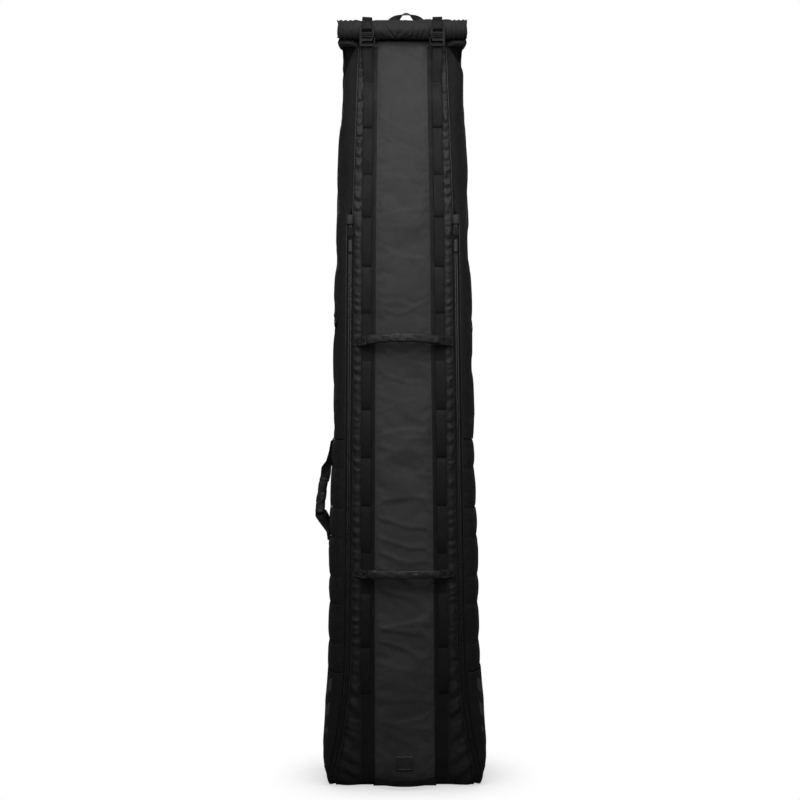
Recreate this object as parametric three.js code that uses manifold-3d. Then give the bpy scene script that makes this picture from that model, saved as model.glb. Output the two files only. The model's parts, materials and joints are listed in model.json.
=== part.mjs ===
// Full-length roll-top ski bag, standing upright on its wheeled base.
// Millimetres. +Z up, front faces -Y, +X on the right of someone looking at the front.
// Origin: centre of the base's footprint, on the floor.
import * as THREE from "three";
import Module from "manifold-3d";
import { mergeVertices } from "three/addons/utils/BufferGeometryUtils.js";

const wasm = await Module();
wasm.setup();

// ---------------------------------------------------------------- driving dimensions
const FLAP_TOP = 1430; // upper edge of the zipped front flap
const SPLIT_Z = 1433; // line between the flap and the fixed yoke above it
const YOKE_BOTTOM = 1437;
const EDGE_BLEND_TOP = 1465; // above this the side panel's front edge follows the yoke
const NECK_TOP = 1904; // where front and back meet under the roll
const SEAM_TOP = NECK_TOP - 4; // top of the side and back panels
const FABRIC = 3; // outer cloth with its lining
const RIB = 9; // padded rib thickness
const GAP = 0.3;
const TAPE_HALF = 8; // zip tape, chain centre to edge
const TRAY_H = 38; // rim height of the moulded base
// heights of the seams between the padded ribs
const RIB_LINES = [287, 360, 459, 528, 628, 703, 805, 879];
const RIBS_BOTTOM = RIB_LINES[0];
const RIBS_TOP = RIB_LINES.at(-1);
const SIDES = [["left", -1], ["right", 1]];

// ---------------------------------------------------------------- profiles up the bag
// Piecewise-linear lookup in rows of [z, value], held constant beyond both ends.
const table = (rows) => (z) => {
  if (z <= rows[0][0]) return rows[0][1];
  for (let i = 1; i < rows.length; i++) {
    const [z0, a] = rows[i - 1];
    const [z1, b] = rows[i];
    if (z <= z1) return a + ((b - a) * (z - z0)) / (z1 - z0);
  }
  return rows.at(-1)[1];
};
// Each row is [z, x or y].
const halfWidth = table([
  [0, 190], [12, 199], [30, 206], [60, 212], [108, 211], [187, 207], [240, 203], [287, 199],
  [319, 197], [451, 194], [583, 194], [715, 189], [847, 184], [979, 182], [1111, 179.5],
  [1243, 177], [1375, 172], [1507, 169], [1639, 165], [1745, 162], [1824, 160], [1904, 160],
]);
const frontEdge = table([
  [0, -100], [12, -107], [30, -111], [60, -113], [367, -112], [1433, -96],
  [1600, -88], [1740, -77], [1824, -66], [1887, -52], [1904, -46.5],
]);
// how far the middle of the front stands forward of its edges
const crown = table([[0, 1], [60, 5], [367, 12], [900, 14], [1433, 12], [1700, 8], [1904, 2]]);
const backY = table([
  [0, 90], [30, 98], [60, 100], [1500, 100], [1600, 95],
  [1740, 74], [1824, 42], [1870, 10], [1887, -6], [1904, -22],
]);
const zipX = table([
  [0, 192], [8, 191.5], [36, 187], [61, 181.5], [112, 170.5],
  [160, 161.5], [214, 154], [290, 147.5], [367, 144.5], [1433, 134],
]);
const yokeX = table([[1433, 128], [1846, 114], [1904, 112]]);
const webX = table([[0, 99], [469, 98], [979, 95], [1433, 92], [1846, 87], [1904, 87]]);

// Front edge of the side panels: beside the zip, then beside the yoke.
function edgeX(z) {
  const besideZip = (level) => zipX(level) + TAPE_HALF + GAP;
  const besideYoke = (level) => yokeX(level) + GAP;
  if (z <= SPLIT_Z) return besideZip(z);
  if (z >= EDGE_BLEND_TOP) return besideYoke(z);
  const share = (z - SPLIT_Z) / (EDGE_BLEND_TOP - SPLIT_Z);
  return besideZip(SPLIT_Z) * (1 - share) + besideYoke(EDGE_BLEND_TOP) * share;
}
const backSeam = (z) => halfWidth(z) - 24;

function frontY(x, z) {
  const crownHalf = z > SPLIT_Z ? yokeX(z) + 6 : zipX(z);
  const share = Math.min(1, Math.abs(x) / crownHalf);
  return frontEdge(z) - crown(z) * (1 - share * share);
}

// Heights at which long pieces have a row of vertices.
const LEVELS = [
  12, 30, 60, 108, 160, 214, 290, 367, 640, 1000, 1270, SPLIT_Z,
  EDGE_BLEND_TOP, 1540, 1600, 1670, 1740, 1784, 1824, 1856, 1887,
];
const levels = (low, high) => [low, ...LEVELS.filter((z) => z > low + 4 && z < high - 4), high];

// ---------------------------------------------------------------- geometry helpers
const V = (x, y, z) => new THREE.Vector3(x, y, z);
const cosDeg = (degrees) => Math.cos((degrees * Math.PI) / 180);
const sinDeg = (degrees) => Math.sin((degrees * Math.PI) / 180);
const steps = (a, b, n) => Array.from({ length: n + 1 }, (_, i) => a + ((b - a) * i) / n);
const fullTurn = (n) => steps(0, 360, n).slice(0, n);
// The range a..b on the right (+1), or its mirror image on the left (-1).
const mirrored = (sign, a, b) => (sign > 0 ? [a, b] : [-b, -a]);

// A closed mesh, its triangles turned outwards if their volume comes out negative.
function closed(points, triangles) {
  let sixVolumes = 0;
  for (const [a, b, c] of triangles) {
    sixVolumes += points[a].dot(points[b].clone().cross(points[c]));
  }
  const outward = sixVolumes < 0 ? triangles.map(([a, b, c]) => [a, c, b]) : triangles;
  const geometry = new THREE.BufferGeometry();
  const positions = points.flatMap((p) => [p.x, p.y, p.z]);
  geometry.setAttribute("position", new THREE.Float32BufferAttribute(positions, 3));
  geometry.setIndex(outward.flat());
  return geometry;
}

// The solid between two grids of points with the same rows and columns.
function slab(gridA, gridB) {
  const rows = gridA.length;
  const columns = gridA[0].length;
  const triangles = [];
  const a = (j, i) => j * columns + i;
  const b = (j, i) => (rows + j) * columns + i;
  const quad = (p, q, r, s) => triangles.push([p, q, r], [p, r, s]);
  const lastRow = rows - 1;
  const lastColumn = columns - 1;
  for (let j = 0; j < lastRow; j++) {
    for (let i = 0; i < lastColumn; i++) {
      quad(a(j, i), a(j, i + 1), a(j + 1, i + 1), a(j + 1, i));
      quad(b(j, i), b(j + 1, i), b(j + 1, i + 1), b(j, i + 1));
    }
  }
  for (let i = 0; i < lastColumn; i++) {
    quad(a(0, i), b(0, i), b(0, i + 1), a(0, i + 1));
    quad(a(lastRow, i + 1), b(lastRow, i + 1), b(lastRow, i), a(lastRow, i));
  }
  for (let j = 0; j < lastRow; j++) {
    quad(a(j + 1, 0), b(j + 1, 0), b(j, 0), a(j, 0));
    quad(a(j, lastColumn), b(j, lastColumn), b(j + 1, lastColumn), a(j + 1, lastColumn));
  }
  return closed([...gridA.flat(), ...gridB.flat()], triangles);
}

// A slab whose points come from pointAt(column, z, face, column index), face being 0 or 1.
function sheet(heights, columns, pointAt) {
  const grid = (face) => heights.map((z) => columns.map((c, i) => pointAt(c, z, face, i)));
  return slab(grid(0), grid(1));
}

// A closed tube through loops of points, with flat fans at both ends.
function rings(loops) {
  const n = loops[0].length;
  const points = loops.flat();
  const triangles = [];
  for (let j = 0; j + 1 < loops.length; j++) {
    for (let i = 0; i < n; i++) {
      const next = (i + 1) % n;
      const above = (j + 1) * n;
      triangles.push([j * n + i, j * n + next, above + next]);
      triangles.push([j * n + i, above + next, above + i]);
    }
  }
  for (const [j, flip] of [[0, true], [loops.length - 1, false]]) {
    const hub = points.length;
    points.push(loops[j].reduce((sum, p) => sum.add(p), V(0, 0, 0)).multiplyScalar(1 / n));
    for (let i = 0; i < n; i++) {
      const here = j * n + i;
      const next = j * n + ((i + 1) % n);
      triangles.push(flip ? [hub, next, here] : [hub, here, next]);
    }
  }
  return closed(points, triangles);
}

function tangentAt(path, i) {
  const after = path[Math.min(i + 1, path.length - 1)];
  const before = path[Math.max(i - 1, 0)];
  return after.clone().sub(before).normalize();
}

// A flat strap along a path; widthDir(i) gives the direction across it.
function ribbon(path, widthDir, half, thickness) {
  const across = path.map((p, i) => {
    const tangent = tangentAt(path, i);
    const width = widthDir(i);
    width.addScaledVector(tangent, -width.dot(tangent)).normalize();
    return { p, width, normal: tangent.clone().cross(width).normalize() };
  });
  const face = (offset) => across.map(({ p, width, normal }) =>
    [-half, half].map((k) => p.clone().addScaledVector(width, k).addScaledVector(normal, offset)));
  return slab(face(thickness / 2), face(-thickness / 2));
}

// A rounded rectangle about centre, with half sizes a along u and b along v.
// The corner radius is given as a share of the smaller half size.
function roundedLoop(centre, u, v, a, b, cornerShare) {
  const radius = Math.min(a, b) * cornerShare;
  const loop = [];
  for (const [signU, signV, start] of [[1, 1, 0], [-1, 1, 90], [-1, -1, 180], [1, -1, 270]]) {
    for (const turn of [start + 10, start + 45, start + 80]) {
      const alongU = signU * (a - radius) + radius * cosDeg(turn);
      const alongV = signV * (b - radius) + radius * sinDeg(turn);
      loop.push(centre.clone().addScaledVector(u, alongU).addScaledVector(v, alongV));
    }
  }
  return loop;
}

function box(x0, x1, y0, y1, z0, z1) {
  const block = new THREE.BoxGeometry(x1 - x0, y1 - y0, z1 - z0);
  return block.translate((x0 + x1) / 2, (y0 + y1) / 2, (z0 + z1) / 2);
}
// A box given for the right side, mirrored when sign is -1.
const sideBox = (sign, x0, x1, ...rest) => box(...mirrored(sign, x0, x1), ...rest);

// Flat outlines are lists of coordinate pairs.
function extrude(outline, depth, holes = []) {
  const vectors = (pairs) => pairs.map(([a, b]) => new THREE.Vector2(a, b));
  const shape = new THREE.Shape(vectors(outline));
  shape.holes.push(...holes.map((hole) => new THREE.Path(vectors(hole))));
  return new THREE.ExtrudeGeometry(shape, { depth, bevelEnabled: false });
}
// An outline drawn as (y, z), pushed out along X.
function alongX(outline, x0, x1) {
  const turn = new THREE.Matrix4().set(0, 0, 1, x0, 1, 0, 0, 0, 0, 1, 0, 0, 0, 0, 0, 1);
  return extrude(outline, x1 - x0).applyMatrix4(turn);
}
// An outline drawn as (x, z), pushed out along Y.
function alongY(outline, y0, y1, holes) {
  const turn = new THREE.Matrix4().set(1, 0, 0, 0, 0, 0, -1, y1, 0, 1, 0, 0, 0, 0, 0, 1);
  return extrude(outline, y1 - y0, holes).applyMatrix4(turn);
}
const placed = (outline, x, z, sign = 1) => outline.map(([dx, dz]) => [x + sign * dx, z + dz]);

function solid(geometry) {
  const bare = geometry.clone();
  bare.deleteAttribute("normal");
  bare.deleteAttribute("uv");
  const merged = mergeVertices(bare, 1e-4);
  return new wasm.Manifold(new wasm.Mesh({
    numProp: 3,
    vertProperties: new Float32Array(merged.attributes.position.array),
    triVerts: new Uint32Array(merged.index.array),
  }));
}
const cut = (base, ...tools) => tools.reduce((rest, tool) => rest.subtract(solid(tool)), base);
const join = (base, ...parts) => parts.reduce((sum, part) => sum.add(solid(part)), base);

function geometryOf(manifold) {
  const mesh = manifold.getMesh();
  return new THREE.BufferGeometry()
    .setAttribute("position", new THREE.BufferAttribute(mesh.vertProperties.slice(), 3))
    .setIndex(new THREE.BufferAttribute(mesh.triVerts, 1));
}

// ---------------------------------------------------------------- materials
const standard = (settings) => new THREE.MeshStandardMaterial({ metalness: 0, ...settings });
const MAT = {
  coated: standard({ color: 0x2b2b2b, roughness: 0.48 }),
  fabric: standard({ color: 0x111111, roughness: 0.9 }),
  webbing: standard({ color: 0x141414, roughness: 0.75 }),
  plastic: standard({ color: 0x101010, roughness: 0.5 }),
  hook: standard({ color: 0x262626, roughness: 0.4, metalness: 0.6 }),
  zip: standard({ color: 0x0d0d0d, roughness: 0.6 }),
  rubber: standard({ color: 0x161616, roughness: 0.8 }),
  steel: standard({ color: 0x8a8a8a, roughness: 0.35, metalness: 1 }),
};

const bag = new THREE.Group();
function add(name, geometry, material) {
  const mesh = new THREE.Mesh(geometry, material);
  mesh.name = name;
  bag.add(mesh);
}

// ---------------------------------------------------------------- wheel wells
// Cleared out of the back panel, the corner panels and the tray.
const WELL_BACK = 140;
const WELL_FLOOR = -5;
const wells = SIDES.map(([, sign]) => sideBox(sign, 121, 200, 40, WELL_BACK, WELL_FLOOR, 104));
const clearWells = (geometry) => geometryOf(cut(solid(geometry), ...wells));

// ---------------------------------------------------------------- outer cloth
function frontSheet(low, high, half) {
  return sheet(levels(low, high), steps(-1, 1, 10), (u, z, face) =>
    V(u * half(z), frontY(u * half(z), z) + face * FABRIC, z));
}

function addFront() {
  add("front_flap", frontSheet(4, FLAP_TOP, (z) => zipX(z) - TAPE_HALF - GAP), MAT.coated);
  add("front_yoke", frontSheet(YOKE_BOTTOM, NECK_TOP, (z) => edgeX(z) - 1.3), MAT.coated);
}

function addBackPanel() {
  const panel = sheet(levels(42, SEAM_TOP), steps(-1, 1, 4), (u, z, face) =>
    V(u * (backSeam(z) - 2.6), backY(z) - face * FABRIC, z));
  add("back_panel", clearWells(panel), MAT.fabric);
}

// Plan outline of one side at height z: two superellipse quarters, from the front edge
// round to the back seam. inset moves it inwards, puff swells it.
function sideOutline(z, sign, { inset = 0, puff = 0, count = 5 } = {}) {
  const power = 2 / 2.7;
  const front = edgeX(z);
  const seam = backSeam(z);
  const outer = halfWidth(z) - inset + puff;
  const yFront = frontY(front, z) + inset - puff * 0.6;
  const yBack = backY(z) - inset + puff * 0.6;
  const yMid = (frontEdge(z) + backY(z)) / 2;
  const quarterPoint = (i, xEnd, yEnd) => {
    const angle = (i / count) * (Math.PI / 2);
    const x = xEnd + (outer - xEnd) * Math.pow(Math.sin(angle), power);
    const y = yMid + (yEnd - yMid) * Math.pow(Math.cos(angle), power);
    return V(sign * x, y, z);
  };
  const outline = [];
  for (let i = 0; i <= count; i++) outline.push(quarterPoint(i, front, yFront));
  for (let i = count - 1; i >= 0; i--) outline.push(quarterPoint(i, seam, yBack));
  return outline;
}

function sideSheet(sign, heights, thickness, puffAt = () => 0) {
  const outer = heights.map((z) => sideOutline(z, sign, { puff: puffAt(z) }));
  const inner = heights.map((z) => sideOutline(z, sign, { inset: thickness }));
  return slab(outer, inner);
}

// Rows at each rib seam and at two heights within each rib.
function ribHeights() {
  const heights = [];
  for (let i = 0; i + 1 < RIB_LINES.length; i++) {
    const low = RIB_LINES[i];
    const pitch = RIB_LINES[i + 1] - low;
    heights.push(i === 0 ? low + 1 : low, low + 0.22 * pitch, low + 0.78 * pitch);
  }
  return [...heights, RIBS_TOP - 1];
}
const ribPuff = (z) => (RIB_LINES.some((line) => Math.abs(line - z) <= 1.01) ? -1.5 : 2.5);

function addSidePanels(side, sign) {
  const upper = sideSheet(sign, levels(RIBS_TOP + 1, SEAM_TOP), FABRIC);
  add(side + "_side_panel", upper, MAT.fabric);
  add(side + "_rib_panel", sideSheet(sign, ribHeights(), RIB, ribPuff), MAT.fabric);
  const corner = sideSheet(sign, levels(TRAY_H + 3, RIBS_BOTTOM - 1), FABRIC);
  add(side + "_corner_panel", clearWells(corner), MAT.fabric);
}

// ---------------------------------------------------------------- moulded base
const TRAY_WALL = 4;
const TRAY_CORNER_R = 30;

// Rounded rectangle at height z; above the rim it keeps the rim's shape.
function trayRing(z, inset) {
  const level = Math.min(z, TRAY_H);
  const radius = TRAY_CORNER_R - inset;
  const x = halfWidth(level) - inset - radius;
  const yFront = Math.max(frontEdge(level) + 12, -95) + inset + radius;
  const yBack = backY(level) - inset - radius;
  const corners = [[x, yBack, 0], [-x, yBack, 90], [-x, yFront, 180], [x, yFront, 270]];
  return corners.flatMap(([cx, cy, start]) =>
    steps(start, start + 90, 5).map((a) => V(cx + radius * cosDeg(a), cy + radius * sinDeg(a), z)));
}

function addBaseTray() {
  const outer = rings([0, 12, 24, TRAY_H].map((z) => trayRing(z, 0)));
  const hollow = rings([5, 12, 24, TRAY_H + 2].map((z) => trayRing(z, TRAY_WALL)));
  add("base_tray", geometryOf(cut(solid(outer), hollow, ...wells)), MAT.plastic);
}

// ---------------------------------------------------------------- wheels
const WHEEL_R = 38;
const WHEEL_HALF = 15; // half the tyre's width
const WHEEL_X = 152;
const WHEEL_Y = 92;
const WHEEL_Z = 41;
const CAVITY_R = WHEEL_R + 4;
const CAVITY_HALF = 19;
const HOUSING_HALF = 27;
const HUB_HALF = 14;
// seen from the side, as [y, z]
const HOUSING_OUTLINE = [
  [44, 8], [98, 8], [102, 14], [102, 60], [96, 82], [82, 96], [66, 100], [50, 100], [44, 94],
];
// [radius, distance from the wheel's middle along X]
const TYRE_PROFILE = [
  [33, -WHEEL_HALF], [36.8, 2.5 - WHEEL_HALF], [WHEEL_R, 8 - WHEEL_HALF],
  [WHEEL_R, WHEEL_HALF - 8], [36.8, WHEEL_HALF - 2.5], [33, WHEEL_HALF],
];

// A cylinder lying along X, placed from the wheel's centre.
function wheelDrum(sign, radius, half, segments, dy = 0, dz = 0) {
  return new THREE.CylinderGeometry(radius, radius, 2 * half, segments)
    .rotateZ(Math.PI / 2)
    .translate(sign * WHEEL_X, WHEEL_Y + dy, WHEEL_Z + dz);
}

// The housing's cavity is round above and in front, and open below and behind.
function wheelHousing(sign) {
  const body = alongX(HOUSING_OUTLINE, ...mirrored(sign, WHEEL_X - HOUSING_HALF, WHEEL_X + HOUSING_HALF));
  const opening = (yFront, zTop) =>
    sideBox(sign, WHEEL_X - CAVITY_HALF, WHEEL_X + CAVITY_HALF, yFront, WELL_BACK, WELL_FLOOR, zTop);
  return geometryOf(cut(
    solid(body),
    wheelDrum(sign, CAVITY_R, CAVITY_HALF, 40),
    opening(WHEEL_Y - CAVITY_R, WHEEL_Z),
    opening(WHEEL_Y, WHEEL_Z + CAVITY_R),
    wheelDrum(sign, 4.5, HOUSING_HALF + 1, 24),
  ));
}

// Hub with an axle bore and five round holes about it.
function wheelHub(sign) {
  const holeCircle = 15.5;
  const holes = [0, 1, 2, 3, 4].map((i) => {
    const angle = (i * 2 * Math.PI) / 5;
    const dy = holeCircle * Math.cos(angle);
    return wheelDrum(sign, 4.5, HUB_HALF + 1, 8, dy, holeCircle * Math.sin(angle));
  });
  const bore = wheelDrum(sign, 4.8, HUB_HALF + 1, 20);
  return geometryOf(cut(solid(wheelDrum(sign, 25, HUB_HALF, 36)), bore, ...holes));
}

function wheelTyre(sign) {
  const loops = TYRE_PROFILE.map(([radius, dx]) => fullTurn(36).map((a) =>
    V(sign * WHEEL_X + dx, WHEEL_Y + radius * cosDeg(a), WHEEL_Z + radius * sinDeg(a))));
  return geometryOf(cut(solid(rings(loops)), wheelDrum(sign, 25.5, WHEEL_HALF + 1, 36)));
}

function addWheel(side, sign) {
  add(side + "_wheel_housing", wheelHousing(sign), MAT.plastic);
  add(side + "_axle", wheelDrum(sign, 4, 26, 24), MAT.steel);
  add(side + "_wheel_hub", wheelHub(sign), MAT.plastic);
  add(side + "_wheel_tyre", wheelTyre(sign), MAT.rubber);
}

// ---------------------------------------------------------------- U-shaped zip
// One tape on the body, outside the chain, and one on the flap, inside it.
const TAPE_T = 1.8;
const TAPE_BACK = -96; // back of the parts across the bottom
// across the body's tape: [distance from the chain's centre, how far it stands forward]
const BODY_TAPE = [[0.6, 1.2], [3.4, 1.2], [3.8, 0], [TAPE_HALF, 0]];
const FLAP_TAPE = BODY_TAPE.map(([d, lift]) => [-d, lift]).reverse();

// Two upright tapes, a bar across the bottom and a block at each lower corner.
function addZipTape({ name, profile, bottom, barTop, blockInner, blockOuter, blockFront }) {
  const [left, right] = SIDES.map(([, sign]) =>
    sheet(levels(bottom, FLAP_TOP), profile, ([d, lift], z, face) =>
      V(sign * (zipX(z) + d), frontEdge(z) + (face ? TAPE_T : -lift), z)));
  const bar = box(-blockOuter, blockOuter, TAPE_BACK - TAPE_T, TAPE_BACK, bottom, barTop);
  const blocks = SIDES.map(([, sign]) =>
    sideBox(sign, blockInner, blockOuter, blockFront, TAPE_BACK, bottom, barTop));
  add(name, geometryOf(join(solid(left), right, bar, ...blocks)), MAT.zip);
}

function addZipTapes() {
  const bodyCorner = zipX(10);
  addZipTape({
    name: "zip_tape_body", profile: BODY_TAPE, bottom: 3, barTop: 11,
    blockInner: bodyCorner + 1, blockOuter: bodyCorner + 6.5, blockFront: -104,
  });
  const flapCorner = zipX(15);
  addZipTape({
    name: "zip_tape_flap", profile: FLAP_TAPE, bottom: 12, barTop: 19,
    blockInner: flapCorner - 7, blockOuter: flapCorner - 1, blockFront: -107,
  });
}

// ---------------------------------------------------------------- vertical webbing
const WEB = 1.6; // webbing thickness
const BASE_WEB_W = 36; // wide backing webbing
const DAISY_W = 25; // looped webbing on top of it
const DAISY_BULGE = 6; // how far a loop stands off between bar tacks
const HELD_BULGE = 1.2; // the same, where a carry handle crosses the loop
const BASE_OFF = GAP + 1.2; // stays proud of the crowned, faceted cloth behind it
const DAISY_OFF = BASE_OFF + WEB + GAP + 0.8;
// heights of the bar tacks
const TACKS_FLAP = [240, 354, 487, 592, 710, 832, 953, 1076, 1199, 1316, 1424];
const TACKS_YOKE = [1442, 1551, 1673, 1788];
const TOP_LOOP_LEVELS = [1800, 1815, 1832, 1850, 1866, 1878];
// the top loop leans out to meet the hook: [z, distance forward]
const topLoopLean = table([[1788, 0], [1815, 2], [1850, 5], [1878, 10]]);
// front carry handles: bow is how far the grip stands forward, lift how far it arches up
const HANDLES = [
  { name: "upper_handle", z: 1128, height: 26, bow: 22, lift: 8 },
  { name: "lower_handle", z: 541, height: 24, bow: 18, lift: 0 },
];
const webOuter = (z) => webX(z) + DAISY_W / 2;

function webStrip(sign, heights, width, offAt) {
  const edges = [(z) => webOuter(z) - width, webOuter];
  return sheet(heights, edges, (edge, z, face) => {
    const x = edge(z);
    return V(sign * x, frontY(x, z) - offAt(z) - face * WEB, z);
  });
}

// Five steps from each tack to the next.
const loopLevels = (tacks) => [
  ...tacks.slice(1).flatMap((tack, i) => steps(tacks[i], tack, 5).slice(0, 5)),
  tacks.at(-1),
];

function loopBulge(tacks, z) {
  for (let i = 0; i + 1 < tacks.length; i++) {
    const low = tacks[i];
    const high = tacks[i + 1];
    if (z < low || z > high) continue;
    const held = HANDLES.some((handle) => handle.z > low && handle.z < high);
    const shape = Math.pow(Math.sin((Math.PI * (z - low)) / (high - low)), 0.8);
    return (held ? HELD_BULGE : DAISY_BULGE) * shape;
  }
  return 0;
}

function addWebbing(side, sign) {
  const base = (low, high) => webStrip(sign, levels(low, high), BASE_WEB_W, () => BASE_OFF);
  const daisy = (tacks, extra) => webStrip(sign, [...loopLevels(tacks), ...extra], DAISY_W,
    (z) => DAISY_OFF + loopBulge(tacks, z) + topLoopLean(z));
  add(side + "_base_web", base(6, 1426), MAT.webbing);
  add(side + "_base_web_upper", base(1440, 1890), MAT.webbing);
  add(side + "_daisy_web", daisy(TACKS_FLAP, []), MAT.webbing);
  add(side + "_daisy_web_upper", daisy(TACKS_YOKE, TOP_LOOP_LEVELS), MAT.webbing);
}

// ---------------------------------------------------------------- front carry handles
const HANDLE_STANDOFF = 22; // grip ends, off the cloth
const GRIP_HALF_T = 6.5;

function handleGrip({ z, height, bow, lift }, endY, span) {
  const n = 12;
  const up = V(0, 0, 1);
  const path = steps(-1, 1, n).map((u) =>
    V(u * span, endY - bow * Math.pow(Math.cos((u * Math.PI) / 2), 0.9), z + lift * (1 - u * u)));
  const loops = path.map((p, i) => {
    const outward = up.clone().cross(tangentAt(path, i)).normalize();
    const fullness = Math.min(1, 0.55 + 2.2 * (1 - Math.abs(i / (n / 2) - 1)));
    const halfHeight = (height / 2) * (0.84 + 0.16 * fullness);
    return roundedLoop(p, outward, up, GRIP_HALF_T * fullness, halfHeight, 0.9);
  });
  // square off the two ends so that they face the roots they hang from
  loops[0].forEach((p) => p.setX(-span));
  loops[n].forEach((p) => p.setX(span));
  return rings(loops);
}

// Flat on the cloth at its outer end, rising to the grip at its inner end.
function handleRoot({ z: middle, height }, endY, span, sign) {
  const outerX = Math.min(zipX(middle) - TAPE_HALF - 3, span + 23);
  const heights = [middle - height / 2, middle, middle + height / 2];
  const raised = [endY - 3.6, endY + 1.5]; // front face of the two innermost columns
  return sheet(heights, steps(span + 1, outerX, 3), (x, z, face, i) => {
    const cloth = frontY(x, z);
    return V(sign * x, face ? (raised[i] ?? cloth - 4) : cloth - 1, z);
  });
}

function addCarryHandle(handle) {
  const endY = frontY(92, handle.z) - HANDLE_STANDOFF;
  const span = webOuter(handle.z) + 0.2;
  add(handle.name + "_grip", handleGrip(handle, endY, span), MAT.coated);
  for (const [side, sign] of SIDES) {
    add(handle.name + "_root_" + side, handleRoot(handle, endY, span, sign), MAT.coated);
  }
}

// ---------------------------------------------------------------- square badge low on the flap
function addBadge() {
  const badge = sheet([26, 46, 66], steps(-12, 28, 4), (x, z, face) =>
    V(x, frontY(x, z) - (face ? 2.4 : 0.8), z));
  add("front_badge", badge, MAT.rubber);
}

// ---------------------------------------------------------------- zip sliders and their pulls
const SLIDER_Z = 1408;
const PULL_TOP = SLIDER_Z - 9.2;
// [x, z] from the slider's centre
const SLIDER_OUTLINE = [[-7, -8], [-7, 4], [-4.5, 11], [4.5, 11], [7, 4], [7, -8], [4, -11], [-4, -11]];
// [x, z] from the middle of the pull's top edge
const PULL_OUTLINE = [[-6, 0], [-6, -12.8], [-4.5, -44.8], [4.5, -44.8], [6, -12.8], [6, 0]];
const PULL_HOLE = [[-3.2, -7.8], [3.2, -7.8], [3.2, -2.4], [-3.2, -2.4]];

function addZipSlider(side, sign) {
  const x = sign * zipX(SLIDER_Z);
  const y = frontEdge(SLIDER_Z) - 1.6;
  const plate = alongY(placed(SLIDER_OUTLINE, x, SLIDER_Z), y - 3.2, y);
  const bridge = box(x - 2, x + 2, y - 6.8, y - 3, SLIDER_Z - 8, SLIDER_Z + 8);
  const underBridge = box(x - 3, x + 3, y - 5.2, y - 3.2, SLIDER_Z - 5, SLIDER_Z + 5);
  add(side + "_zip_slider", geometryOf(cut(join(solid(plate), bridge), underBridge)), MAT.hook);
  const hole = placed(PULL_HOLE, x, PULL_TOP);
  const pull = alongY(placed(PULL_OUTLINE, x, PULL_TOP), y - 6.4, y - 4.2, [hole]);
  add(side + "_zip_pull", pull, MAT.webbing);
}

// ---------------------------------------------------------------- side carry handle on the left
const SIDE_GRIP_TOP = 769;
const SIDE_GRIP_BOTTOM = 685;
// upright wings standing off the side: [z, inner edge, outer edge], measured off the ribs
const WING_TOP = [[770, 4.8, 29.5], [790, 4.8, 26], [830, 4.8, 14], [862, 4.8, 7]];
const WING_BOTTOM = [[618, 4.8, 7.5], [645, 4.8, 21], [664, 4.8, 33], [684, 4.8, 35]];
// the left side's outermost line over the ribs, moved outwards by off
const leftX = (z, off) => -(halfWidth(z) + 2.5 + off);

function sideWing(rows) {
  const half = 2.2;
  return rings(rows.map(([z, inner, outer]) => [
    V(leftX(z, inner), -half, z),
    V(leftX(z, inner), half, z),
    V(leftX(z, outer), half, z),
    V(leftX(z, outer), -half, z),
  ]));
}

function sideGrip() {
  const top = V(leftX(SIDE_GRIP_TOP, 20), 0, SIDE_GRIP_TOP);
  const bottom = V(leftX(SIDE_GRIP_BOTTOM, 25), 0, SIDE_GRIP_BOTTOM);
  const alongBag = V(0, 1, 0);
  const across = bottom.clone().sub(top).normalize().cross(alongBag).normalize();
  const loops = steps(0, 1, 8).map((u) => {
    const centre = top.clone().lerp(bottom, u).add(V(-2 * Math.sin(Math.PI * u), 0, 0));
    return roundedLoop(centre, alongBag, across, 11, 10.5, 0.96);
  });
  // level the two ends
  loops[0].forEach((p) => p.setZ(SIDE_GRIP_TOP));
  loops[8].forEach((p) => p.setZ(SIDE_GRIP_BOTTOM));
  return rings(loops);
}

function addSideHandle() {
  const base = sheet([604, 628, 703, 805, 879], [-21, 21], (y, z, face) =>
    V(leftX(z, face ? 2.6 : 0.6), y, z));
  add("side_handle_base", base, MAT.webbing);
  add("side_handle_wing_top", sideWing(WING_TOP), MAT.webbing);
  add("side_handle_wing_bottom", sideWing(WING_BOTTOM), MAT.webbing);
  add("side_handle_grip", sideGrip(), MAT.webbing);
}

// ---------------------------------------------------------------- accessory ring on the left side
function addSideRing() {
  const outline = sideOutline(1215, -1, { count: 14 });
  const seat = outline[7].clone().setZ(0);
  // horizontal directions along the surface and outwards from it
  const along = outline[8].clone().sub(outline[6]).setZ(0).normalize();
  const outward = V(-Math.abs(along.y), -Math.abs(along.x), 0).normalize();
  const tab = sheet([1199, 1233], [-8, 8], (d, z, face) =>
    seat.clone().addScaledVector(along, d).addScaledVector(outward, face ? 4.5 : 1.5).setZ(z));
  add("side_ring_tab", tab, MAT.webbing);

  const thickness = 2.6;
  const oval = (a, b) => fullTurn(24).map((turn) => [a * cosDeg(turn), b * sinDeg(turn)]);
  const up = V(0, 0, 1);
  const centre = seat.clone().addScaledVector(outward, 3.2);
  const ring = extrude(oval(11, 16.5), thickness, [oval(8, 13.5)])
    .translate(0, 0, -thickness / 2)
    .applyMatrix4(new THREE.Matrix4().makeBasis(along, up, along.clone().cross(up)))
    .translate(centre.x, centre.y, 1180);
  add("side_ring", ring, MAT.hook);
}

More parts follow.
